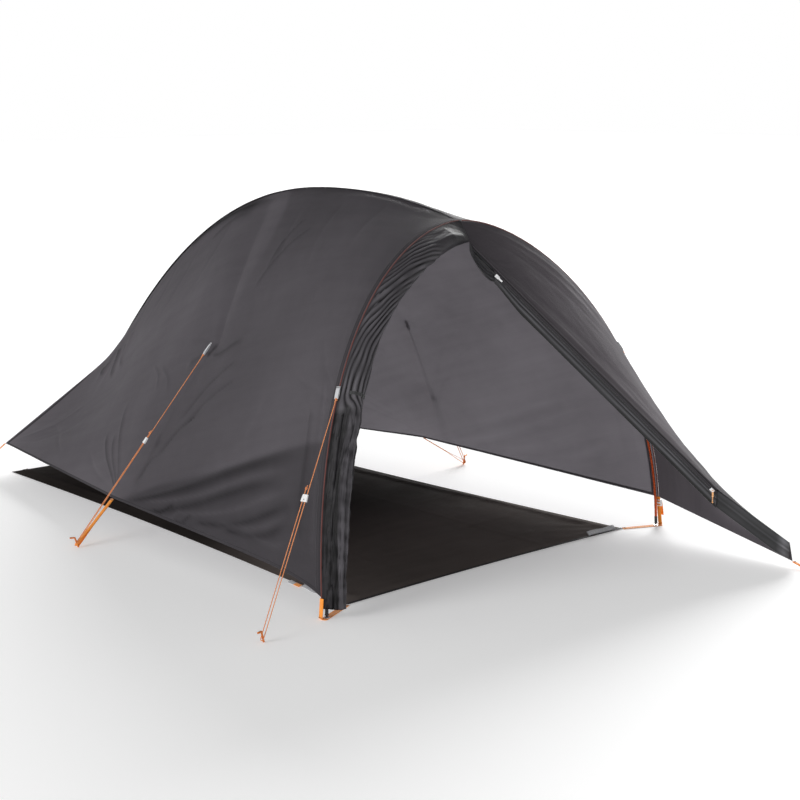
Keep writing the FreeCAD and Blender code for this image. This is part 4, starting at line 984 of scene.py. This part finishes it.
pleat = np.abs(np.sin(phase + 0.35 * np.sin(phase * 0.37 + 1.0))) ** 0.62 - 0.72
small = np.abs(np.sin(phase * 2.3 + 1.1 + 1.7 * drift)) ** 0.8 - 0.6
deep = 0.0082 * upper + 0.0056 * tied + 0.0044 * (1 - upper - tied)
deep = deep * (0.05 + 0.95 * smooth((turn - 0.150) / 0.09)) * (1 - 0.45 * hump(turn - TIE, 0.012))
patchy = value_noise(xyz(s_grid * 14.0, reach * 9.0, 0 * reach + 7.7), 1.0, 4.0, 2)
patchy = np.clip(0.75 + 0.9 * patchy, 0.2, 1.4)
swell = deep[:, None] * (pleat + 0.20 * small) * patchy
swell += 0.0016 * value_noise(spot * 3.1, 1.0, 6.0, 2) * smooth((t_grid - 0.05) / 0.1)
loose = smooth((t_grid - 0.655) / 0.02)
for place, high, sway in ((0.046, 0.0050, 0.004), (0.071, 0.0042, 0.005), (0.094, 0.0035, 0.003)):
    off = reach - place - sway * np.sin(s_grid * 9 + place * 50) - 0.0015 * np.sin(s_grid * 43)
    swell += loose * high * (smooth(off / 0.0012) * np.exp(-np.maximum(off, 0) / 0.016) - 0.25)
swell += 0.0045 * hump(t_grid - 0.685, 0.020) * hump(reach - 0.075, 0.020)
crinkle = value_noise(xyz(s_grid * 30.0, reach * 22.0, 0 * reach), 1.0, 11.0, 2)
swell += loose * 0.0018 * crinkle * smooth((reach - 0.05) / 0.03)
hold = smooth(reach / 0.010) * (np.arange(N_A)[None, :] < N_NECK + N_RING - 3)
swell = swell * hold
flat_ring = rings + normals * swell[..., None]
roll_points = (root[:, None] + inward[:, None] * flat_ring[..., :1] + forward[:, None] * flat_ring[..., 1:])
roll_mid = root + inward * c1[:, None] + forward * c2[:, None]
last = roll_points[-1]
layers = [roll_points]
COILS = np.arange(1, 9)     # the turns of cloth seen in the roll's lower end
for k in COILS:
    inset = (0.004 if k % 2 else -0.0005) * (1 - k / 14)
    layers.append((roll_mid[-1] + (last - roll_mid[-1]) * (1 - 0.11 * k) - tangent[-1] * inset)[None])
roll_points = np.concatenate(layers, 0)
roll_uv = np.stack([np.vstack([s_grid, s_grid[-1:] + 0.003 * COILS[:, None]]),
                    np.vstack([reach, np.repeat(reach[-1:], len(COILS), 0)])], -1)
roll_piece = grid_piece("rolled_door_cloth", roll_points, ROLL, roll_uv, closed=True)
# painted light and shade on the roll: painted highlights on the pleat crests, painted shade in their valleys,
# darker towards the roll's top end
pleat_painted_light = np.clip(0.12 + 1.65 * (pleat + 0.72) ** 2.4 + 0.30 * small * hold, 0.08, 1.7)
creased = np.clip(patchy, 0, 1) * smooth((t_grid - 0.165) / 0.06) * smooth(reach / 0.012)
roll_painted_light = mix(0.34 + 0.36 * smooth((t_grid - 0.06) / 0.10), pleat_painted_light, creased)
streak = value_noise(xyz(s_grid * 4.0, reach * 90.0, 0 * reach), 1.0, 21.0, 3)
# the loose cloth below the tie: painted highlight bands on its folds, broken up by streaks and crinkle,
# lighter where it swells
hanging_painted_light = 0.46 + 1.00 * smooth((reach - 0.046) / 0.006) * smooth((0.100 - reach) / 0.025)
hanging_painted_light += 0.55 * np.exp(-((t_grid - 0.912) / 0.030) ** 4) * hump(reach - 0.060, 0.006)
hanging_painted_light *= (0.80 + 0.55 * streak + 0.45 * crinkle) * (1 - 0.72 * hump(streak, 0.05))
hanging_painted_light += 0.30 * np.clip(swell, -0.003, 0.006) / 0.006
roll_painted_light = np.clip(mix(roll_painted_light, hanging_painted_light, loose), 0.10, 1.7)
# the turns at the roll's lower end alternate painted shade and lighter cloth
set_painted_shade(roll_piece, np.vstack([roll_painted_light, np.tile(np.where(COILS % 2, 0.35, 0.9)[:, None], (1, N_A))]))
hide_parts("rolled_door")

k = int(np.argmin(np.abs(turn - TIE)))
held = slice(int(N_NECK * 0.75), N_NECK + N_RING)
girdle = flat_ring[k, held] + normals[k, held] * 0.0014
girdle = root[k] + inward[k] * girdle[:, :1] + forward[k] * girdle[:, 1:]
band = ribbon("door_tie_elastic", girdle, tangent[k], 0.010, 0.0011, BLACK_WEB)
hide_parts("door_tie_band")
toggle_low, toggle_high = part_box("door_toggle")
toggle_mid = (np.array(toggle_low) + np.array(toggle_high)) / 2
link = unit(toggle_mid - roll_mid[k])
strip = straight(roll_mid[k] + link * (radius[k] - 0.002), toggle_mid - link * 0.004, 12)
ribbon("door_toggle_loop", strip, tangent[k], 0.006, 0.0011, BLACK_WEB)


# ---------------------------------------------------------------- webbing
def strap(name, points, wide, width, thick=0.0014, material=ORANGE, count=60):
    return ribbon(name, curve_points(points, count), wide, width, thick, material)


def bar_tack(name, middle, wide, width, lift):
    """A dense row of stitches across a strap."""
    path = middle + wide * np.linspace(-width / 2, width / 2, 24)[:, None] + lift
    tube(name, path, 0.0009, STITCH, 6, lambda a, t: 0.0003 * np.sin(a * 5000))


EYE_RADIUS = 0.0041


def eye_strap(name, start, foot, width):
    """Ground webbing with a punched eye under the pole tip."""
    ahead = unit(foot - start)
    wide = np.cross(UP, ahead)
    eye = float(np.linalg.norm(foot - start))
    length = eye + 0.022
    verts, faces, uv = [], [], []
    cols = 9
    xs = np.unique(np.concatenate([np.linspace(0.002, length, 46), eye + np.linspace(-0.006, 0.006, 9)]))
    for z in (0.0012, 0.0002):
        for x in xs:
            tip = min(1.0, max(0.0, (length - x) / 0.006)) ** 0.5 if x > length - 0.006 else 1.0
            for c in np.linspace(-1, 1, cols):
                p = start + ahead * x + wide * c * width / 2 * (0.55 + 0.45 * tip) + UP * z
                d = (p - foot)[:2]
                dist = np.hypot(*d)
                if 1e-9 < dist < EYE_RADIUS:
                    p[:2] = foot[:2] + d / dist * EYE_RADIUS
                verts.append(p)
                uv.append((x, c * width / 2))
    n = len(xs)
    for layer in (0, 1):
        faces += grid_faces(n, cols, base=layer * n * cols, flip=bool(layer))
    for i in range(n - 1):
        for j in (0, cols - 1):
            q = (i * cols + j, (i + 1) * cols + j, (n + i + 1) * cols + j, (n + i) * cols + j)
            faces.append(q if j else q[::-1])
    for j in range(cols - 1):
        faces.append((j, j + 1, n * cols + j + 1, n * cols + j))
        e = (n - 1) * cols + j
        faces.append((e + 1, e, n * cols + e, n * cols + e + 1))
    return mesh_piece(name, verts, faces, ORANGE, np.array(uv))


for side, word in ((-1, "left"), (1, "right"), (0, "rear")):
    if side:
        start, foot = np.array([side * 0.592, -1.050, 0.0]), np.array([side * 0.704, -1.100, 0.0])
        lower = np.array([side * 0.726, -1.100, 0.0014])
        upper_end = arch(side, HEM_TURN[side]) + (side * 0.002, 0, 0)
        wide = np.array([0.0, 1.0, 0.0])
    else:
        start, foot = np.array([0.0, 1.050, 0.0]), np.array([0.0, 1.190, 0.0])
        lower, upper_end = np.array([0.0, 1.206, 0.0014]), np.array([0.0, 1.1797, 0.094])
        wide = np.array([1.0, 0.0, 0.0])
    flat = eye_strap("ground_strap_" + word, start, foot, 0.020)
    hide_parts("corner_strap_" + word)
    rise_dir = unit(upper_end - lower)
    out_dir = unit(np.cross(rise_dir, wide))
    if out_dir[:2] @ (lower - foot)[:2] < 0:
        out_dir = -out_dir
    path = [lower - out_dir * 0.004 + UP * 0.0006, lower + UP * 0.0016 + out_dir * 0.0005,
            lower + rise_dir * 0.010, *(mix(lower, upper_end, t) for t in (0.30, 0.52, 0.79)), upper_end]
    strap("riser_strap_" + word, path, wide, 0.016)
    if side >= 0:
        grip = mix(lower, upper_end, 0.79)
        tail = [grip + rise_dir * 0.007 + out_dir * 0.0042, grip + rise_dir * 0.004 + out_dir * 0.0085,
                grip - rise_dir * 0.014 + out_dir * 0.011, grip - rise_dir * 0.046 + out_dir * 0.0125]
        strap("strap_tail_" + word, tail, wide, 0.015, 0.0013, count=30)
    bar_tack("riser_tack_" + word, lower + rise_dir * 0.004, wide, 0.014, out_dir * 0.0012)
    ahead = unit(foot - start)
    bar_tack("ground_tack_" + word, start + ahead * 0.010, np.cross(UP, ahead), 0.017, UP * 0.0016)


def peg_loop(name, a, b, width):
    """Hem webbing: two layers from the hem at a to the peg at b, parting round its shaft."""
    d = unit(b - a)
    wide = unit(np.cross(UP, d))
    up = np.cross(d, wide)
    length = float(np.linalg.norm(b - a))
    steps = np.linspace(0.004, length, 34)
    gap = 0.0009 + 0.0042 * smooth((steps - length * 0.55) / (length * 0.45))
    near = a + d * steps[:, None] + up * gap[:, None]
    far = a + d * steps[:, None] - up * gap[:, None]
    s = np.linspace(-np.pi / 2, np.pi / 2, 16)[1:-1]
    nose = b + d * (0.0052 * np.cos(s))[:, None] - up * (0.0051 * np.sin(s))[:, None]
    path = np.vstack([near, nose, far[::-1]])
    loop = ribbon(name, path, wide, width, 0.0011, ORANGE)
    bar_tack(name + "_tack", a + d * 0.010, wide, width * 0.85, up * 0.0018)
    return loop


PEG_LEAN = 0.32
for side, word in ((-1, "left"), (1, "right")):
    foot = np.array([side * 0.850, -0.026, 0.0])
    away = unit(foot - np.array([side * 0.4225, -0.1766, 0]))
    axis = foot + unit(UP + away * PEG_LEAN) * 0.010
    peg_loop("hem_strap_" + word, TAB * np.array([side, 1, 1]), axis, 0.012)
    away = unit(np.array([side * 0.560, 1.190 - 0.400, 0.0]))
    axis = np.array([side * 0.560, 1.190, 0.0]) + unit(UP + away * PEG_LEAN) * 0.010
    peg_loop("rear_corner_strap_" + word, CORNER * np.array([side, 1, 1]), axis, 0.012)
toe_peg = np.array([0.635, -1.733, 0.0])
away = unit((toe_peg - TOE) * np.array([1, 1, 0]))
peg_loop("vestibule_peg_loop", TOE, toe_peg + unit(UP + away * PEG_LEAN) * 0.008, 0.010)
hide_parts("hem_peg_straps")


def size_tag(name, start, end, width, tilt):
    """Reflective tag sewn along the groundsheet's edge, standing up a little."""
    a, b = np.array(start, float), np.array(end, float)
    side = np.cross(UP, unit(b - a))
    rise = unit(side * math.cos(tilt) * np.sign(side @ -(a + b)) + UP * math.sin(tilt))
    steps = np.linspace(0, 1, 26)[:, None]
    path = mix(a, b, steps) + UP * 0.003 + rise * width / 2 + UP * 0.0014 * np.sin(steps * 8)
    ribbon(name, path, rise, width, 0.0012, SILVER)


size_tag("groundsheet_tag_left", (-0.588, -0.835, 0.0), (-0.597, -0.935, 0.0), 0.017, 0.25)
size_tag("groundsheet_tag_right", (0.440, -1.040, 0.0), (0.565, -1.044, 0.0), 0.016, 0.75)
tip = [(-0.583, -0.776, 0.0050), (-0.586, -0.804, 0.0050)]
tape = [(-0.586, -0.806, 0.0045), (-0.588, -0.835, 0.0048)]
strap("groundsheet_tag_left_tip", tip, (1.0, 0, 0.25), 0.015, 0.0011, SILVER, 12)
strap("groundsheet_tag_left_tape", tape, (1.0, 0, 0.25), 0.014, 0.0011, ORANGE, 12)
front_edge = [(-0.590, -1.0485, 0.0022), (-0.3, -1.040, 0.0024), (0, -1.036, 0.0022),
              (0.3, -1.040, 0.0024), (0.590, -1.0485, 0.0022)]
strap("groundsheet_edge_binding_front", front_edge, (0, 1, 0), 0.010, 0.0012, TRIM, 90)

# ---------------------------------------------------------------- floor, light and camera
FLOOR_HALF, FLOOR_Z = 40, -0.0005
floor_mesh = bpy.data.meshes.new("floor")
floor_corners = [(x * FLOOR_HALF, y * FLOOR_HALF, FLOOR_Z) for x, y in ((-1, -1), (1, -1), (1, 1), (-1, 1))]
floor_mesh.from_pydata(floor_corners, [], [(0, 1, 2, 3)])
floor = add_object("floor", floor_mesh)
pale = Nodes("floor_pale")
pale.finish((0.86, 0.86, 0.86, 1), 0.8, Emission_Color=(1, 1, 1, 1), Emission_Strength=0.22)
floor.data.materials.append(pale.material)

world = bpy.data.worlds.new("studio")
bpy.context.scene.world = world
world.use_nodes = True
sky = world.node_tree
heights = sky.nodes.new("ShaderNodeTexCoord")
split = sky.nodes.new("ShaderNodeSeparateXYZ")
glow = sky.nodes.new("ShaderNodeMapRange")
for i, x in enumerate((0.12, 0.85, 1.0, 0.20)):
    glow.inputs[i + 1].default_value = x
sky.links.new(heights.outputs["Generated"], split.inputs[0])
sky.links.new(split.outputs[2], glow.inputs[0])
sky.links.new(glow.outputs[0], sky.nodes["Background"].inputs[1])
sky.nodes["Background"].inputs[0].default_value = (1.0, 1.0, 1.0, 1)
bpy.context.scene.view_settings.view_transform = "Standard"


def soft_sun(name, towards, power, spread):
    data = bpy.data.lights.new(name, "SUN")
    data.energy = power
    data.angle = math.radians(spread)
    add_object(name, data).rotation_euler = Vector(towards).to_track_quat("-Z", "Y").to_euler()


soft_sun("key", (0.95, -0.10, -0.35), 1.5, 30)
soft_sun("back", (-0.75, -0.55, -0.35), 3.4, 30)

yaw, pitch, roll = math.radians(48.379), math.radians(10.923), math.radians(-0.235)
sight = Vector((math.cos(yaw) * math.cos(pitch), math.sin(yaw) * math.cos(pitch), -math.sin(pitch)))
camera_data = bpy.data.cameras.new("camera")
FOCAL_PIXELS, PHOTO_PIXELS, SENSOR = 1589.7, 800, 36
camera_data.lens = FOCAL_PIXELS / PHOTO_PIXELS * SENSOR
camera_data.sensor_width = SENSOR
camera = add_object("camera", camera_data)
camera.location = (-3.326, -4.357, 1.415)
camera.rotation_mode = "QUATERNION"
camera.rotation_quaternion = sight.to_track_quat("-Z", "Y") @ Quaternion((0, 0, 1), roll)
bpy.context.scene.camera = camera
